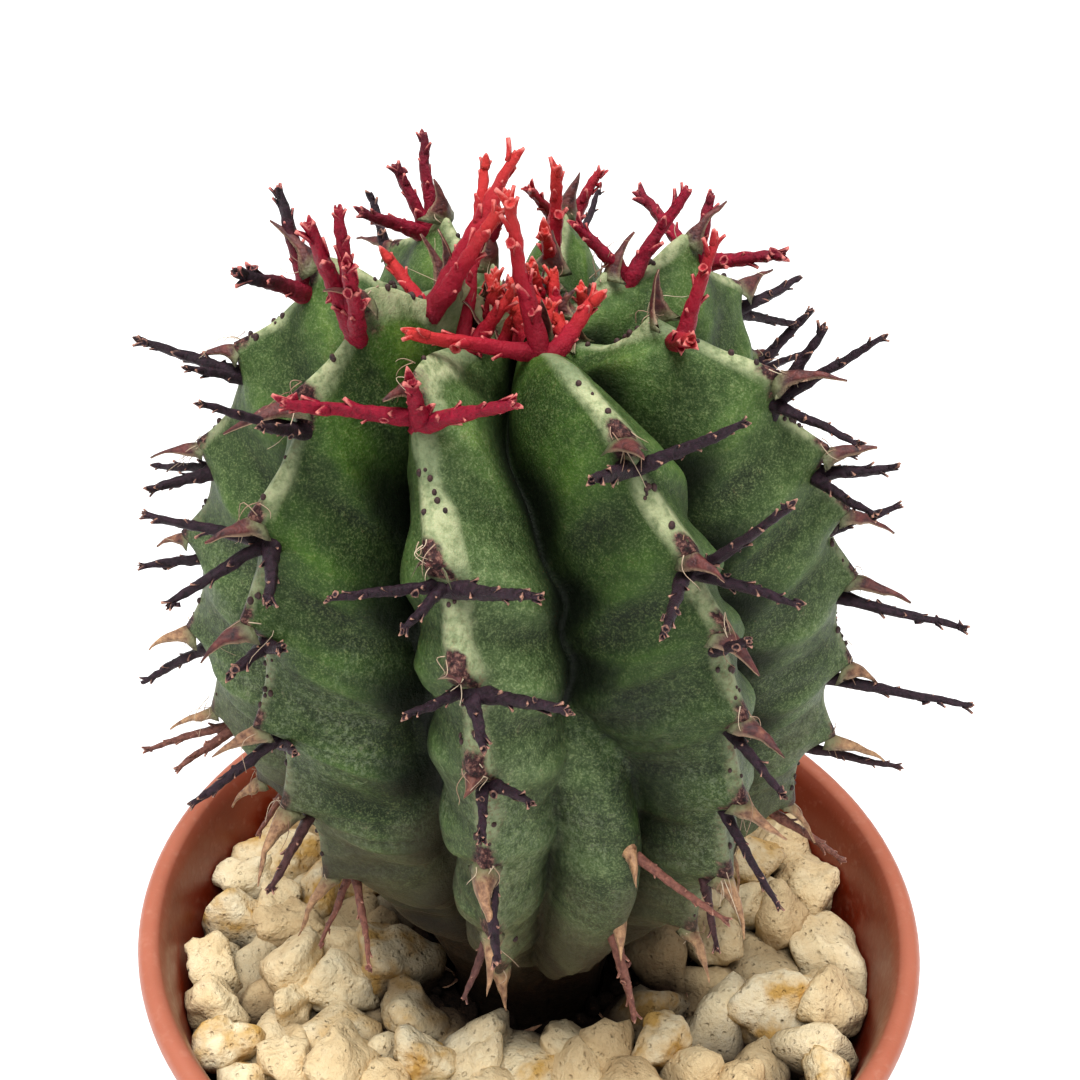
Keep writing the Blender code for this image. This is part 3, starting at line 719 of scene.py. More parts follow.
def crest_frame(rib, along):
    """A point on a crest, its outward direction, its upward one, and the one round the stem."""
    radius, height = rib.crest(rib.place_at(along))
    azimuth = radians(float(rib.azimuth_at(along)))
    out_radius, out_height = rib.outward(along)
    level = np.array([cos(azimuth), sin(azimuth), 0.0])
    point = np.array([lean_at(height), 0.0, GRAVEL_TOP + height]) + level * radius
    outward = level * out_radius + np.array([0.0, 0.0, out_height])
    round_stem = np.array([-sin(azimuth), cos(azimuth), 0.0])
    return point, outward, np.cross(outward, round_stem), round_stem


def lobe_frame(ribs, place):
    """The same on the side lobe's crest, at a place along its furrow."""
    spots = place + np.array([-0.1, 0.0, 0.1])
    above, point, below = flank(ribs, LOBE_FURROW, 1, 1.0, spots)[0]
    round_stem = unit(np.array([-point[1], point[0], 0.0]))
    outward = unit(np.cross(below - above, round_stem))
    return point, outward, np.cross(outward, round_stem), round_stem


def aim(frame_here, fan, lift):
    """A direction fanned round the stem and lifted towards the crown, in degrees."""
    outward, upward, round_stem = frame_here[1:]
    fan = radians(fan)
    lift = radians(lift)
    level = outward * cos(fan) + round_stem * sin(fan)
    return level * cos(lift) + upward * sin(lift)


def crumple(points, size, seed, shift=0.0):
    """Smooth noise in each of the three directions, to press points about with."""
    noises = [lattice_noise(points + shift * k, size, seed + k) for k in range(3)]
    return np.stack(noises, axis=-1)


def any_across(direction, dice):
    """A random direction square to the one given."""
    loose = np.array([dice.gauss(0.0, 1.0) for _ in range(3)])
    return unit(loose - direction * loose.dot(direction))


def add_scale(heap, dice, root, stalk, outward, length, age, tip):
    """A small fleshy scale that springs from a stalk and leans away from it, with a pale rim."""
    share = np.linspace(0.0, 1.0, 6)[:, None]
    lean = dice.uniform(0.15, 0.55)
    path = root + stalk * length * share + outward * length * lean * share**1.5
    along = unit(np.gradient(path, axis=0))
    across = np.broadcast_to(unit(np.cross(stalk, outward)), path.shape)
    facing = np.cross(across, along)
    widths = length * dice.uniform(0.55, 0.75) * np.array([0.9, 1.0, 0.95, 0.8, 0.55, 0.2])
    rings, edge, faces = blade(path, across, facing, widths, 0.24 * length, -0.2, 5)
    ends = np.broadcast_to(share, edge.shape)
    heap.add(rings, faces, age=age, tip=tip, edge=np.maximum(edge**3, ends**3) * ends**0.4)


def add_cup(heap, root, axis, radius, age, tip):
    """The small pale-rimmed cup that a fallen flower leaves on the side of a stalk."""
    spokes = np.linspace(0.0, 2.0 * pi, 9)[:-1, None]
    first = unit(np.cross(axis, axis[[1, 2, 0]] + 0.01))
    spokes = first * np.cos(spokes) + np.cross(axis, first) * np.sin(spokes)
    rings = [root + axis * radius * rise + spokes * radius * spread for rise, spread in CUP_PROFILE]
    rings = np.array(rings)
    rings = rings + 0.12 * crumple(rings, 0.35, 40)
    edge = np.repeat([0.0, 0.1, 0.8, 0.7, 0.2], len(spokes))
    heap.add(rings, grid_faces(len(rings), len(spokes)), age=age, tip=tip, edge=edge)


def add_stalk(heap, dice, start, direction, length, thickness, age):
    """A flower stalk: a knobbly tapering rod, scales and cups at its joints and a torn end."""
    share = np.linspace(0.0, 1.0, STALK_RINGS)
    bend = any_across(direction, dice) * length * dice.uniform(0.01, 0.07)
    path = start + direction * (length * share)[:, None] + bend * (share**2)[:, None]
    path = path + 0.14 * crumple(path, 1.6, 11, 31.0) * share[:, None]
    count = max(2, round(length / JOINT_PITCH))
    joints = [0.2 + 0.76 * (index + dice.uniform(-0.25, 0.25)) / count for index in range(count)]
    knobs = sum(np.exp(-(((share - joint) * length / 0.25) ** 2)) for joint in joints)
    taper = TAPER[int(age > HARD_AGE)] * share
    radius = 0.5 * thickness * (1.0 - taper + 0.45 * np.exp(-share * length / 1.2) + 0.14 * knobs)
    turn = np.linspace(0.0, 2.0 * pi, STALK_SIDES, endpoint=False)
    spots = np.broadcast_arrays(turn * 1.6, (share * length)[:, None] * 1.3, age + 9.0)
    spots = np.stack(spots, axis=-1)
    ridges = 1.0 + 0.06 * np.cos(3.0 * turn) + 0.24 * lattice_noise(spots, 1.0, 4)
    points = tube(path, radius[:, None] * ridges, STALK_SIDES)[0]
    end = path[-1]
    spokes = points[-1] - end
    torn = np.array([dice.uniform(0.05, 0.4) for _ in range(STALK_SIDES)])
    torn = direction * (thickness * torn)[:, None]
    ends = [end + spokes * 0.9 + torn, end + spokes * 0.55 + 0.9 * torn, end + spokes * 0.3]
    points = np.concatenate([points, ends])
    tip = np.append(share, [1.0, 1.0, 1.0])
    edge = np.append(np.where(share > 0.98, 0.2, 0.0), [0.7, 0.6, 0.3])
    tip, edge = [np.repeat(values, STALK_SIDES) for values in (tip, edge)]
    heap.add(points, grid_faces(len(points), STALK_SIDES), age=age, tip=tip, edge=edge)
    turn = dice.uniform(0.0, 6.28)
    first = any_across(direction, dice)
    second = np.cross(direction, first)
    size = thickness * (0.95 if age < HARD_AGE else 0.8)
    for joint in joints + [1.0] * dice.choice([2, 3, 3]):
        turn += 2.2 if joint == 1.0 else 2.4
        outward = first * cos(turn) + second * sin(turn)
        here = radius[min(round(joint * (STALK_RINGS - 1)), STALK_RINGS - 1)]
        root = start + direction * (length * joint - 0.45 * size * (joint == 1.0)) + bend * joint**2
        root = root + outward * here * 0.7
        add_scale(heap, dice, root, direction, outward, size * dice.uniform(0.7, 1.2), age, joint)
        if dice.random() < CUP_SHARE:
            axis = unit(0.6 * direction - outward)
            width = thickness * dice.uniform(0.2, 0.32)
            add_cup(heap, root - outward * 1.5 * here, axis, width, age, joint)


def add_leaf(heap, dice, frame_here, height, age, length):
    """A dried leaf at a tooth's tip, folded along its middle and curled down."""
    point, outward, upward, round_stem = frame_here
    direction = aim(frame_here, dice.uniform(-15, 15), LEAF_LEAN + dice.uniform(-8, 18))
    share = np.linspace(0.0, 1.0, 13)[:, None]
    curl = dice.uniform(0.1, 0.6)
    sway = dice.uniform(-0.3, 0.3)
    root = point + outward * (height - 0.7)
    path = root + direction * length * share - upward * curl * length * share**2.2
    path = path + round_stem * sway * length * share**2
    along = unit(np.gradient(path, axis=0))
    across = unit(round_stem - along * (along @ round_stem)[:, None])
    facing = np.cross(across, along)
    shape = np.array([1.3, 1.2, 1.04, 0.9, 0.78, 0.66, 0.55, 0.45, 0.35, 0.27, 0.19, 0.12, 0.03])
    ragged = 1.0 + 0.2 * lattice_noise(path, 0.6, 21)
    widths = LEAF_WIDTH * (1.35 - 0.35 * age) * dice.uniform(0.8, 1.1) * shape * ragged
    rings, edge, faces = blade(path, across, facing, widths, 0.14, 0.5 * dice.uniform(0.5, 1.2), 7)
    rings = rings + 0.1 * crumple(rings, 0.7, 30)
    tip = np.broadcast_to(share, edge.shape)
    heap.add(rings, faces, age=age, tip=tip, edge=edge)


def drawn_cluster(dice):
    """Two or three fanned spines, for a cluster that isn't listed."""
    spread = dice.uniform(35.0, 55.0)
    fans = np.linspace(-spread, spread, dice.choice([2, 2, 3]))
    return [(fan, dice.uniform(-20.0, 15.0), dice.uniform(4.5, 7.0)) for fan in fans]


def stalk_age(rib, along):
    """A stalk's age: 0 red and fleshy, 1 hardened and dark, 2 dry and brown."""
    if along < YOUNG_REACH:
        return TURNING.get(rib.name, 0.0) + 0.25 * (along / YOUNG_REACH) ** 2
    return 1.0 + min(max((along - OLD_REACH) / 8.0, 0.0), 1.0)


def cluster_list(ribs):
    """For each tooth its frame, its stalks' frame, its stalks and their age, and its leaf's height,
    length and dryness."""
    drawing = random.Random(SPINE_SEED)
    dice = random.Random(SEED)
    listed = []
    for rib in ribs:
        placed = CLUSTERS[rib.name]
        for index, tooth in enumerate(rib.teeth):
            drawn = drawn_cluster(drawing)
            stalks = placed[index] if index < len(placed) else drawn
            low = crest_frame(rib, tooth + SPINE_DROP)
            leaf = dice.uniform(*LEAF_LENGTH) + 0.8 * (tooth > OLD_REACH)
            if rib.name == "front":
                leaf = FRONT_LEAVES[index]
            withered = float(smooth_step(np.float64(tooth), 24.0, 46.0))
            age = stalk_age(rib, tooth)
            listed.append((crest_frame(rib, tooth), low, stalks, age, TOOTH_HEIGHT, leaf, withered))
    for place, stalks in zip(LOBE_TEETH, LOBE_CLUSTERS):
        listed.append((lobe_frame(ribs, place - 0.3), lobe_frame(ribs, place), stalks, 1.8, 0.0, 2.6, 1.0))
    return listed


def make_stalks_and_leaves(ribs):
    """The flower stalks in three ages, the crown's buds and the dried leaves."""
    dice = random.Random(SEED)
    names = ("age", "tip", "edge")
    red, dark, leaves = Heap(*names), Heap(*names), Heap(*names)
    for upper, lower, stalks, age, height, leaf, withered in cluster_list(ribs):
        add_leaf(leaves, dice, upper, height, withered, leaf)
        heap, limits = (red, RED_THICKNESS) if age < HARD_AGE else (dark, DARK_THICKNESS)
        for fan, lift, length in stalks:
            direction = aim(lower, fan, lift)
            aside = lower[3] * (SPINE_SPREAD * sin(radians(fan)))
            start = lower[0] + aside - direction * SPINE_SINK
            thickness = dice.uniform(*limits) - 0.12 * max(age - 1.0, 0.0)
            add_stalk(heap, dice, start, direction, length + SPINE_SINK, thickness, age)
    for bud in range(BUD_COUNT):
        frame_here = crest_frame(ribs[bud % RIB_COUNT], dice.uniform(1.2, 4.0))
        direction = aim(frame_here, dice.uniform(-35, 35), dice.uniform(-15, 35))
        start = frame_here[0] - frame_here[1] * SPINE_SINK
        add_stalk(red, dice, start, direction, dice.uniform(1.8, 3.4), dice.uniform(0.6, 1.0), 0.0)
        add_leaf(leaves, dice, frame_here, 0.6, 0.2, dice.uniform(0.9, 1.5))
    red.build("red_flower_stalks", stalk_material("red_stalk"), "plant_skin", "plant")
    dark.build("hardened_spines", stalk_material("hardened_spine"), "plant_skin", "plant")
    leaves.build("dried_leaves", leaf_material(), "plant_skin", "plant")


def make_fibres(ribs):
    """Pale torn fibres round the leaf scars, a few of them long and fine."""
    dice = random.Random(SEED)
    heap = Heap("age")
    for rib in ribs:
        for tooth in rib.teeth:
            for _ in range(dice.choice(FIBRE_COUNTS)):
                frame_here = crest_frame(rib, tooth + dice.uniform(-0.9, 0.6))
                point, outward, upward, round_stem = frame_here
                direction = aim(frame_here, dice.gauss(0.0, 40.0), -dice.uniform(30.0, 80.0))
                length = dice.choice([0.9, 1.4, 2.4]) * dice.uniform(0.7, 1.2)
                share = np.linspace(0.0, 1.0, 9)[:, None]
                start = point + outward * (TOOTH_HEIGHT - 0.35) + round_stem * dice.uniform(-0.6, 0.6)
                curl = any_across(direction, dice) * length * dice.uniform(0.1, 0.5)
                path = start + direction * length * share + curl * np.sin(dice.uniform(2.0, 5.0) * share)
                points, faces = tube(path, np.linspace(*FIBRE_RADII, 9), 4)
                heap.add(points, faces, age=dice.random())
    heap.build("torn_fibres", fibre_material(), "plant_skin", "plant")


def make_dots(ribs):
    """Dark raised dots on the pale stretches above the teeth."""
    dice = random.Random(SEED)
    directions, faces = round_ball(2)
    heap = Heap("edge")
    for index, rib in enumerate(ribs):
        for tooth in rib.teeth:
            for _ in range(dice.choice(DOT_COUNTS)):
                along = tooth - dice.uniform(*DOT_SPAN)
                spots = rib.place_at(max(along, 1.0) + np.array([-0.2, 0.0, 0.2]))
                step = dice.uniform(0.0, 0.11) * rib.band
                spot = flank(ribs, index, dice.choice([-1, 1]), step, spots)[0][1]
                size = dice.uniform(*DOT_RADIUS) * np.array([1.0, 1.0, dice.uniform(1.0, 1.6)])
                heap.add(directions * size + spot, faces, edge=0.0)
    heap.build("crest_dots", dot_material(), "plant_skin", "plant")


def round_ball(detail):
    """The directions and faces of an even ball."""
    bm = bmesh.new()
    bmesh.ops.create_icosphere(bm, subdivisions=detail, radius=1.0)
    directions = unit(np.array([vertex.co[:] for vertex in bm.verts]))
    faces = [tuple(vertex.index for vertex in face.verts) for face in bm.faces]
    bm.free()
    return directions, faces


def stone_points(directions, dice, radius):
    """A craggy stone: flats in random directions, rounded where they meet, with lumps and pits."""
    normals = unit(dice.normal(size=(11, 3)))
    heights = dice.uniform(0.66, 1.05, 11)
    lean = np.maximum(directions @ normals.T, 0.05) / heights
    reach = np.minimum((lean**8).sum(axis=1) ** (-1.0 / 8.0), 1.2)
    seed = int(dice.integers(1, 9999))
    for size, share in ((0.8, 0.27), (0.4, 0.14), (0.2, 0.06), (0.1, 0.025)):
        reach = reach * (1.0 + share * lattice_noise(directions + 3.0, size, seed))
    stretch = np.array([1.15, 0.97, 0.78]) * dice.uniform(0.88, 1.12, 3)
    turn = np.linalg.qr(dice.normal(size=(3, 3)))[0]
    return (directions * reach[:, None] * stretch) @ turn.T * radius


def keep_inside(points):
    """Press points that reach past the inside of the pot's wall back to it."""
    most = wall_radius(points[:, 2]) - POT_WALL - 0.1
    points[:, :2] *= np.minimum(most / np.hypot(points[:, 0], points[:, 1]), 1.0)[:, None]
    return points


def settle(dice, count, radii):
    """Middles of stones that fill the pot's top round the bare soil without much overlap."""
    ring = np.sqrt(dice.uniform(BARE_RADIUS**2, STONE_SPAN**2, count))
    turn = dice.uniform(0.0, 2.0 * pi, count)
    height = dice.uniform(*START_HEIGHT, count)
    spots = np.stack([ring * np.cos(turn), ring * np.sin(turn), height], axis=-1)
    for _ in range(SETTLE_ROUNDS):
        spots[:, 2] -= SETTLE_STEP
        apart = spots[:, None] - spots[None]
        distance = np.linalg.norm(apart, axis=-1) + np.eye(count) * 99.0
        press = np.maximum(STONE_PACKING * (radii[:, None] + radii[None]) - distance, 0.0)
        spots += 0.35 * (apart / distance[..., None] * press[..., None]).sum(axis=1)
        reach = np.hypot(spots[:, 0], spots[:, 1])
        wanted = np.clip(reach, BARE_RADIUS + 0.6 * radii, STONE_SPAN - 0.9 * radii)
        spots[:, :2] *= (wanted / reach)[:, None]
        spots[:, 2] = np.clip(spots[:, 2], SOIL_TOP + 0.75 * radii, STONE_HEIGHT - 0.9 * radii)
    return spots


def make_stones():
    """The top dressing of pumice, each stone of its own shape and tone."""
    dice = np.random.default_rng(SEED)
    radii = dice.uniform(*STONE_RADIUS, STONE_COUNT)
    spots = settle(dice, STONE_COUNT, radii)
    fine, coarse = round_ball(4), round_ball(3)
    heap = Heap("tone", "depth")
    for spot, radius in zip(spots, radii):
        directions, faces = fine if spot[2] > FINE_ABOVE else coarse
        points = keep_inside(stone_points(directions, dice, radius) + spot)
        # Painted shade: stones darker low down and in a ring round the bare soil under the plant
        beside = np.hypot(points[:, 0] / SHADE_RING_STRETCH, points[:, 1])
        unshaded = 0.6 + 0.4 * smooth_step(beside, BARE_RADIUS, BARE_RADIUS + SHADE_RING_WIDTH)
        depth = unshaded * np.clip((points[:, 2] - SOIL_TOP) / 6.0, 0.0, 1.0)
        heap.add(points, faces, tone=dice.uniform(), depth=depth)
    heap.build("pumice_stones", pumice_material(), "pumice", "gravel")


def make_crumbs():
    """Dark soil crumbs between the stones and round the stem's foot."""
    dice = np.random.default_rng(SEED + 1)
    directions, faces = round_ball(2)
    heap = Heap("tone")
    for index in range(CRUMB_COUNT):
        near = index < CRUMB_COUNT * CRUMBS_NEAR
        ring = dice.uniform(*CRUMB_RING) if near else sqrt(dice.uniform(BARE_RADIUS**2, 24.0**2))
        turn = dice.uniform(0.0, 2.0 * pi)
        height = dice.uniform(41.3, 43.0) if near else dice.uniform(40.5, 43.0)
        radius = dice.uniform(*CRUMB_RADIUS)
        spot = [ring * cos(turn), ring * sin(turn), height]
        heap.add(keep_inside(stone_points(directions, dice, radius) + spot), faces, tone=dice.uniform())
    heap.build("soil_crumbs", soil_material(), "soil")


def make_litter():
    """Dried flakes of old leaves on the bare soil and between the stones near the foot."""
    dice = random.Random(SEED)
    heap = Heap("age", "tip", "edge")
    for _ in range(LITTER_COUNT):
        ring = dice.uniform(*LITTER_RING)
        turn = dice.uniform(0.0, 2.0 * pi)
        height = LITTER_HEIGHT + dice.uniform(-0.4, 0.5)
        spot = np.array([ring * cos(turn), ring * sin(turn), height])
        aside = dice.uniform(0.0, 2.0 * pi)
        direction = unit(np.array([cos(aside), sin(aside), dice.uniform(-0.3, 0.5)]))
        length = dice.uniform(*LITTER_LENGTH)
        share = np.linspace(0.0, 1.0, 7)[:, None]
        across = any_across(direction, dice)
        facing = np.cross(across, direction)
        path = spot + direction * length * share + facing * length * dice.uniform(-0.4, 0.4) * share**2
        widths = dice.uniform(0.3, 1.1) * np.array([0.5, 0.9, 1.0, 0.9, 0.75, 0.5, 0.1])
        across, facing = [np.broadcast_to(vector, path.shape) for vector in (across, facing)]
        rings, edge, faces = blade(path, across, facing, widths, 0.1, 0.3, 5)
        heap.add(rings, faces, age=dice.uniform(0.1, 1.0), tip=0.5, edge=edge)
    heap.build("leaf_litter", leaf_material(), "soil")


def wall_radius(height):
    """The pot's outer radius at a height, below the rim."""
    return BASE_RADIUS + (RIM_RADIUS - RIM_BEAD - BASE_RADIUS) * height / POT_HEIGHT


def arc(radius, height, size, first, last, count):
    """Radius and height along a part of a circle, between two angles in degrees."""
    angles = [radians(turn) for turn in np.linspace(first, last, count)]
    return [(radius + size * cos(angle), height + size * sin(angle)) for angle in angles]


def pot_profile():
    """Radius and height round the pot's wall, from the underside's middle to the floor's."""
    profile = [(0.0, 0.0)]
    profile += [(ring + beside, depth) for ring in MOULD_RINGS for beside, depth in MOULD_PROFILE]
    profile += arc(BASE_RADIUS - BASE_CORNER, BASE_CORNER, BASE_CORNER, -90.0, 0.0, 6)
    under_rim = POT_HEIGHT - 2.0 * RIM_BEAD
    for height in np.linspace(BASE_CORNER + 1.0, under_rim - 0.5, 12):
        profile.append((wall_radius(height), height))
    profile.append((wall_radius(under_rim), under_rim))
    profile += arc(RIM_RADIUS - RIM_BEAD, POT_HEIGHT - RIM_BEAD, RIM_BEAD, -70.0, 150.0, 20)
    for height in np.linspace(under_rim, FLOOR_THICKNESS + 0.8, 12):
        profile.append((wall_radius(height) - POT_WALL, height))
    inner = wall_radius(FLOOR_THICKNESS) - POT_WALL
    profile.append((inner - 0.8, FLOOR_THICKNESS))
    profile.append((0.0, FLOOR_THICKNESS))
    return profile


def make_pot():
    """The moulded plastic pot, with a rolled rim and round drain holes."""
    profile = pot_profile()
    turn = np.linspace(0.0, 2.0 * pi, POT_SIDES, endpoint=False)
    rings = []
    for radius, height in profile[1:-1]:
        ring = [radius * np.cos(turn), radius * np.sin(turn), np.full(POT_SIDES, height)]
        rings.append(np.stack(ring, axis=-1))
    points = np.concatenate([*rings, [(0.0, 0.0, 0.0), (0.0, 0.0, FLOOR_THICKNESS)]])
    faces = grid_faces(len(rings), POT_SIDES, closed=False)
    last = (len(rings) - 1) * POT_SIDES
    for side in range(POT_SIDES):
        beside = (side + 1) % POT_SIDES
        faces.append((beside, side, len(points) - 2))
        faces.append((last + side, last + beside, len(points) - 1))
    heap = Heap("inside")
    depth = np.hypot(points[:, 0], points[:, 1]) - wall_radius(points[:, 2])
    inside = 1.0 - smooth_step(depth, -0.75, -0.5)
    heap.add(points, faces, inside=inside * (points[:, 2] > 0.5 * FLOOR_THICKNESS))
    pot = heap.build("plastic_pot", plastic_material(), "pot_plastic", "pot")
    for hole in range(DRAIN_HOLES):
        angle = 2.0 * pi * (hole + 0.5) / DRAIN_HOLES
        bpy.ops.mesh.primitive_cylinder_add(
            vertices=48, radius=DRAIN_RADIUS * MM, depth=4.0 * MM,
            location=(DRAIN_CIRCLE * MM * cos(angle), DRAIN_CIRCLE * MM * sin(angle), 0.5 * MM))
        drill = bpy.context.object
        cut = pot.modifiers.new("drain_hole", "BOOLEAN")
        cut.operation = "DIFFERENCE"
        cut.object = drill
        graph = bpy.context.evaluated_depsgraph_get()
        mesh = bpy.data.meshes.new_from_object(pot.evaluated_get(graph))
        pot.modifiers.clear()
        pot.data = mesh
        bpy.data.objects.remove(drill)
    pot.data.shade_smooth()
    pot.data.set_sharp_from_angle(angle=radians(35.0))


def skin_material():
    """Green skin, banded and mottled, with a grey bloom, pale creamy stretches on the crests, and painted
    shade in the furrows, in the ripples' troughs and towards the foot.
    """
    paint = Paint("stem_skin")
    broad = paint.noise(5.0, 2.0)
    fine = paint.noise(0.6, 4.0, 0.65)
    bark = paint.noise(0.28, 4.0, 0.7)
    grain = paint.noise(0.13, 3.0, 0.7)
    speck = grain.span(0.48, 0.66)
    names = ("age", "ripple", "crest", "pale", "scar", "painted_shade")
    age, ripple, crest, pale, scar, painted_shade = [paint.value(name) for name in names]

    # Painted shade: the green is darker in the ripples' troughs and towards the foot
    tone = ripple * 0.5 + broad * 0.3 + fine * 0.4 + age * -0.5
    green = tone.ramp((0.2, 16, 30, 7), (0.42, 36, 60, 14), (0.62, 57, 88, 22), (0.85, 100, 128, 44))
    grey = fine.ramp((0.3, 66, 86, 50), (0.7, 124, 140, 98))
    bloom = paint.value("bloom") * ripple.span(0.25, 0.8, 0.3, 0.8)
    foot = age.span(0.42, 0.75) * broad.span(0.35, 0.6)
    bloom = bloom + age.span(0.0, 0.9, 0.0, 0.1) + foot * 0.4
    bloom = bloom * (speck + 0.5) * age.span(0.1, 0.35, 0.7, 1.0)
    paint.colour = paint.mix(bloom, green, grey)
    paint.coat(speck * fine.span(0.35, 0.65, 0.12, 0.34), (146, 162, 104))

    paint.coat(crest * fine.span(0.25, 0.6, 0.25, 0.8), (132, 144, 108))
    cork = crest * age.span(0.25, 0.5, 0.0, 0.8) * bark.span(0.5, 0.62)
    paint.coat(cork, (104, 74, 56))
    cream = fine.ramp((0.3, 124, 138, 92), (0.65, 190, 194, 150))
    paint.coat(pale * fine.span(0.25, 0.5, 0.35, 0.9), cream)
    scurf = paint.noise(0.3, 5.0, 0.75).span(0.5, 0.6) * broad.span(0.42, 0.58)
    paint.coat(scurf * age.span(0.42, 0.62, 0.0, 0.32), (138, 148, 122))
    torn = scar + fine.span(0.3, 0.7, -0.45, 0.3)
    scar_tone = bark.ramp((0.38, 26, 13, 14), (0.52, 66, 36, 36), (0.68, 144, 104, 90))
    paint.coat(torn.span(0.15, 0.75), scar_tone)
    # Painted shade in the furrows and over the side lobe
    paint.coat(painted_shade * 0.94, (6, 11, 5))

    # Brown cork towards the foot, the darkest part of it painted shade
    foot_cork_and_shade = age + broad.span(0.3, 0.7, -0.08, 0.08)
    paint.coat(foot_cork_and_shade.span(0.68, 0.84, 0.0, 0.6), (76, 70, 52))
    paint.coat(foot_cork_and_shade.span(0.82, 0.94, 0.0, 0.85), (34, 28, 21))
    # The neck's dark cork, darkened further as painted shade
    neck_cork_and_shade = age + fine * 0.1
    paint.coat(neck_cork_and_shade.span(0.96, 1.06), fine.ramp((0.3, 14, 11, 8), (0.7, 50, 38, 28)))
    return paint.finish(
        roughness=grain.span(0.3, 0.7, 0.45, 0.65),
        normal=paint.bump(fine, 0.12, normal=paint.bump(grain, 0.06)),
        subsurface_weight=0.04, subsurface_scale=0.8 * MM, specular_ior_level=0.2)


def stalk_material(name):
    """Crimson young stalks with orange tips, which harden to purple-black and dry to brown."""
    paint = Paint(name)
    fine = paint.noise(0.35, 5.0, 0.7)
    age = paint.value("age")
    tip = paint.value("tip")
    bright = tip.ramp((0.0, 116, 4, 28), (0.5, 166, 12, 38), (1.0, 206, 52, 44))
    deep = fine.ramp((0.3, 104, 2, 28), (0.7, 162, 14, 48))
    dark = fine.ramp((0.3, 14, 8, 13), (0.75, 60, 38, 50))
    brown = fine.ramp((0.3, 84, 44, 40), (0.75, 160, 106, 88))
    turning = age + tip * age.span(0.18, 0.4, 0.0, 0.6)
    paint.colour = paint.mix(age.span(0.0, 0.18), bright, deep)
    paint.coat(turning.span(0.5, 0.9), dark)
    paint.coat(age.span(1.2, 1.9), brown)
    frayed = paint.mix(age.span(0.4, 1.0), (236, 140, 130), (196, 146, 124))
    worn = paint.value("edge") + fine.span(0.3, 0.7, -0.35, 0.2)
    paint.coat(worn.span(0.45, 0.95, 0.0, 0.85), frayed)
    return paint.finish(
        roughness=fine.span(0.3, 0.7, 0.4, 0.62), normal=paint.bump(fine, 0.2),
        subsurface_weight=0.05, subsurface_scale=0.6 * MM, specular_ior_level=0.25)


def leaf_material():
    """Dried leaves, purple-brown when young and tan when old, with pale edges and a green root."""
    paint = Paint("dried_leaf")
    fine = paint.noise(0.5, 4.0, 0.65)
    young = fine.ramp((0.3, 40, 14, 18), (0.7, 112, 52, 46))
    old = fine.ramp((0.3, 96, 58, 38), (0.7, 198, 154, 112))
    dryness = paint.value("age") + fine * 0.5
    paint.colour = paint.mix(dryness.span(0.45, 1.1), young, old)
    paint.coat(paint.value("edge").span(0.8, 1.0, 0.0, 0.7), (222, 186, 150))
    root = paint.value("tip") + fine.span(0.3, 0.7, 0.1, -0.1)
    paint.coat(root.span(0.08, 0.3, 0.85, 0.0), (104, 112, 76))
    return paint.finish(roughness=0.6, normal=paint.bump(fine, 0.2))


def dot_material():
    """Dark brown corky dots."""
    paint = Paint("corky_dot")
    fine = paint.noise(0.2, 3.0)
    paint.colour = fine.ramp((0.3, 26, 12, 12), (0.7, 72, 42, 38))
    return paint.finish(roughness=0.7, normal=paint.bump(fine, 0.04))


def fibre_material():
    """Pale straw-coloured plant fibre, browner in places."""
    paint = Paint("torn_fibre")
    paint.colour = paint.value("age").ramp((0.0, 150, 112, 88), (1.0, 226, 208, 178))
    paint.coat(paint.noise(0.3, 2.0).span(0.3, 0.7, 0.0, 0.4), (120, 80, 66))
    return paint.finish(roughness=0.6)


def pumice_material():
    """Cream pumice, pitted and dusty, each stone of its own tone and a few of them yellow, darker low down
    and round the bare soil as painted shade.
    """
    paint = Paint("pumice")
    broad = paint.noise(2.2, 3.0)
    fine = paint.noise(0.5, 4.0, 0.65)
    own = paint.value("tone")
    tone = own * 0.45 + broad * 0.5 + fine * 0.25
    cream = tone.ramp(
        (0.3, 198, 168, 124), (0.5, 228, 202, 156), (0.7, 240, 222, 182), (0.9, 248, 238, 210))
    yellow = own.span(0.78, 0.88) * broad.span(0.38, 0.62)
    colour = paint.mix(yellow, cream, (206, 164, 92))
    # Painted shade: dark soil brown on the stones' low parts and round the bare soil
    paint.colour = paint.mix(paint.value("depth").span(0.35, 0.85), (56, 40, 27), colour)
    pits = paint.bump(paint.cells(0.55).span(0.0, 0.3), 0.15)
    return paint.finish(roughness=0.9, normal=paint.bump(fine, 0.35, normal=pits), specular_ior_level=0.2)


def soil_material():
    """Dark crumbly potting soil."""
    paint = Paint("potting_soil")
    fine = paint.noise(0.7, 5.0, 0.7)
    paint.colour = fine.ramp((0.3, 16, 11, 8), (0.6, 40, 28, 20), (0.8, 92, 68, 48))
    normal = paint.bump(fine, 0.5, normal=paint.bump(paint.cells(1.1), 0.5))
    return paint.finish(roughness=0.95, normal=normal, specular_ior_level=0.15)


def plastic_material():
    """Terracotta-coloured plastic with a soft sheen and faint scuffs, darker and redder on the inside wall
    as painted shade.
    """
    paint = Paint("pot_plastic")
    broad = paint.noise(14.0, 3.0)
    fine = paint.noise(0.8, 4.0, 0.6)
    unshaded = broad.ramp((0.3, 160, 88, 64), (0.7, 174, 102, 78))
    shaded_inside = broad.ramp((0.3, 112, 30, 8), (0.7, 140, 48, 18))
    # Painted shade: the inside wall darker and redder
    paint.colour = paint.mix(paint.value("inside"), unshaded, shaded_inside)
    paint.coat(fine.span(0.55, 0.8) * 0.15, (222, 178, 154))
    return paint.finish(
        roughness=fine.span(0.3, 0.7, 0.32, 0.48), normal=paint.bump(fine, 0.03),
        subsurface_weight=0.12, subsurface_scale=1.0 * MM)


def floor_material():
    paint = Paint("floor")
    paint.colour = FLOOR_COLOUR
    return paint.finish(roughness=0.8)


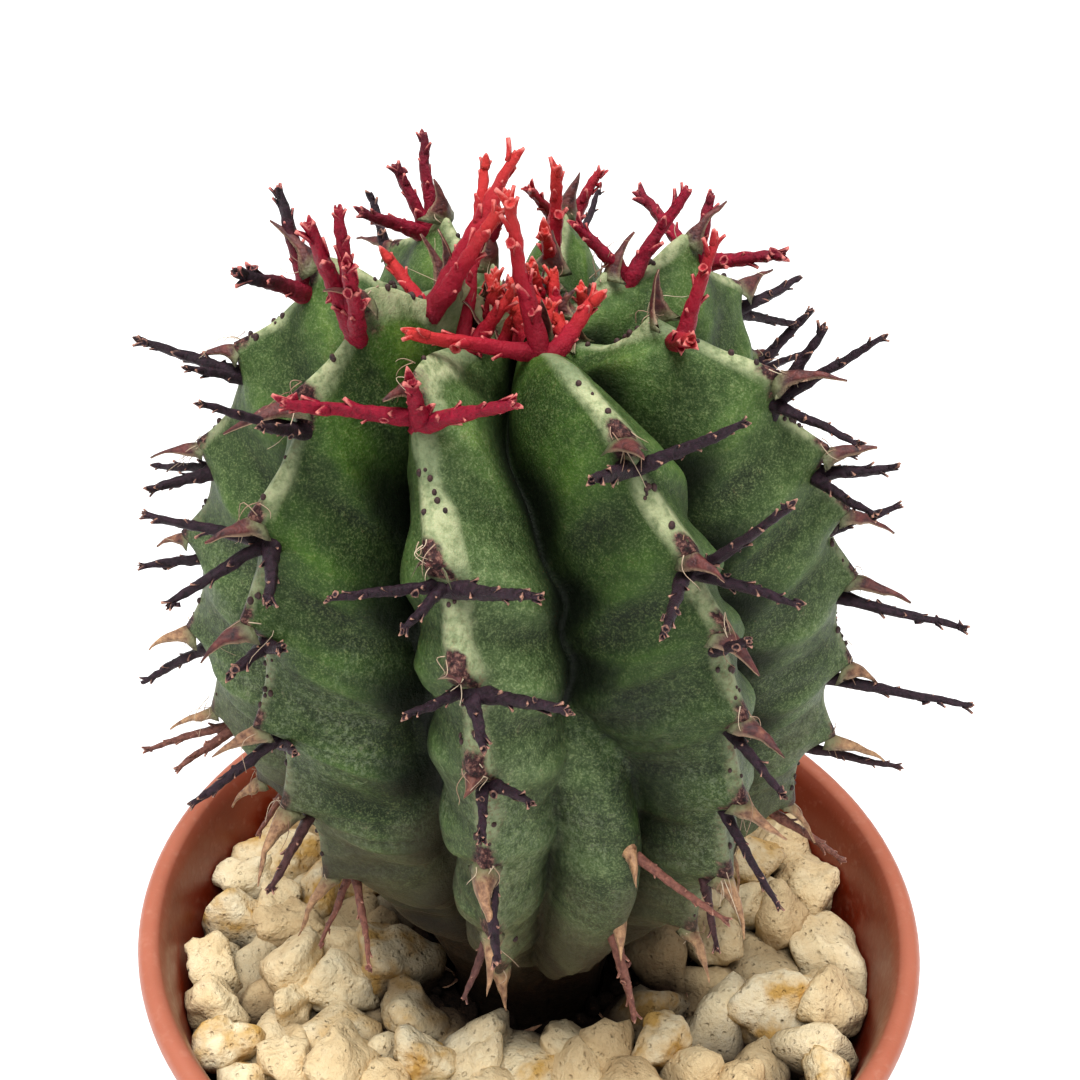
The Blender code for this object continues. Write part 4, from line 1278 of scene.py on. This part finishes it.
def make_floor():
    bpy.ops.mesh.primitive_plane_add(size=6.0)
    floor = bpy.context.object
    floor.name = "floor"
    floor.location.z = -FLOOR_GAP * MM
    floor.data.materials.append(floor_material())


def make_camera():
    """The photograph's camera, with its roll."""
    pitch = radians(CAMERA_PITCH)
    roll = radians(CAMERA_ROLL)
    forward = Vector((0.0, cos(pitch), -sin(pitch)))
    right = Vector((1.0, 0.0, 0.0))
    up = right.cross(forward)
    rolled_right = right * cos(roll) + up * sin(roll)
    rolled_up = up * cos(roll) - right * sin(roll)
    data = bpy.data.cameras.new("camera")
    data.sensor_width = SENSOR_WIDTH
    data.lens = SENSOR_WIDTH * FOCAL_PIXELS / IMAGE_PIXELS
    data.clip_start = 0.001
    camera = bpy.data.objects.new("camera", data)
    camera.matrix_world = Matrix.Translation(Vector(CAMERA_PLACE) * MM) @ Matrix(
        (rolled_right, rolled_up, -forward)).transposed().to_4x4()
    bpy.context.scene.collection.objects.link(camera)
    bpy.context.scene.camera = camera


def make_lights():
    """A white studio with one broad soft light overhead, a little to the camera's side and left."""
    world = bpy.data.worlds.new("studio")
    world.use_nodes = True
    world.node_tree.nodes["Background"].inputs["Color"].default_value = (1.0, 1.0, 1.0, 1.0)
    world.node_tree.nodes["Background"].inputs["Strength"].default_value = WORLD_LIGHT
    bpy.context.scene.world = world
    bpy.context.scene.view_settings.view_transform = "Standard"
    data = bpy.data.lights.new("soft_sun", "SUN")
    data.energy = SUN_LIGHT
    data.angle = radians(SUN_SPREAD)
    light = bpy.data.objects.new("soft_sun", data)
    light.rotation_euler = Vector(SUN_FROM).to_track_quat("Z", "Y").to_euler()
    bpy.context.scene.collection.objects.link(light)


def main():
    ribs = [Rib(*values) for values in RIBS]
    make_camera()
    make_lights()
    make_floor()
    make_pot()
    make_stones()
    make_crumbs()
    make_litter()
    make_stem(ribs)
    make_stalks_and_leaves(ribs)
    make_dots(ribs)
    make_fibres(ribs)
    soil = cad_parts["potting_soil"]
    soil.data.materials.clear()
    soil.data.materials.append(soil_material())


main()
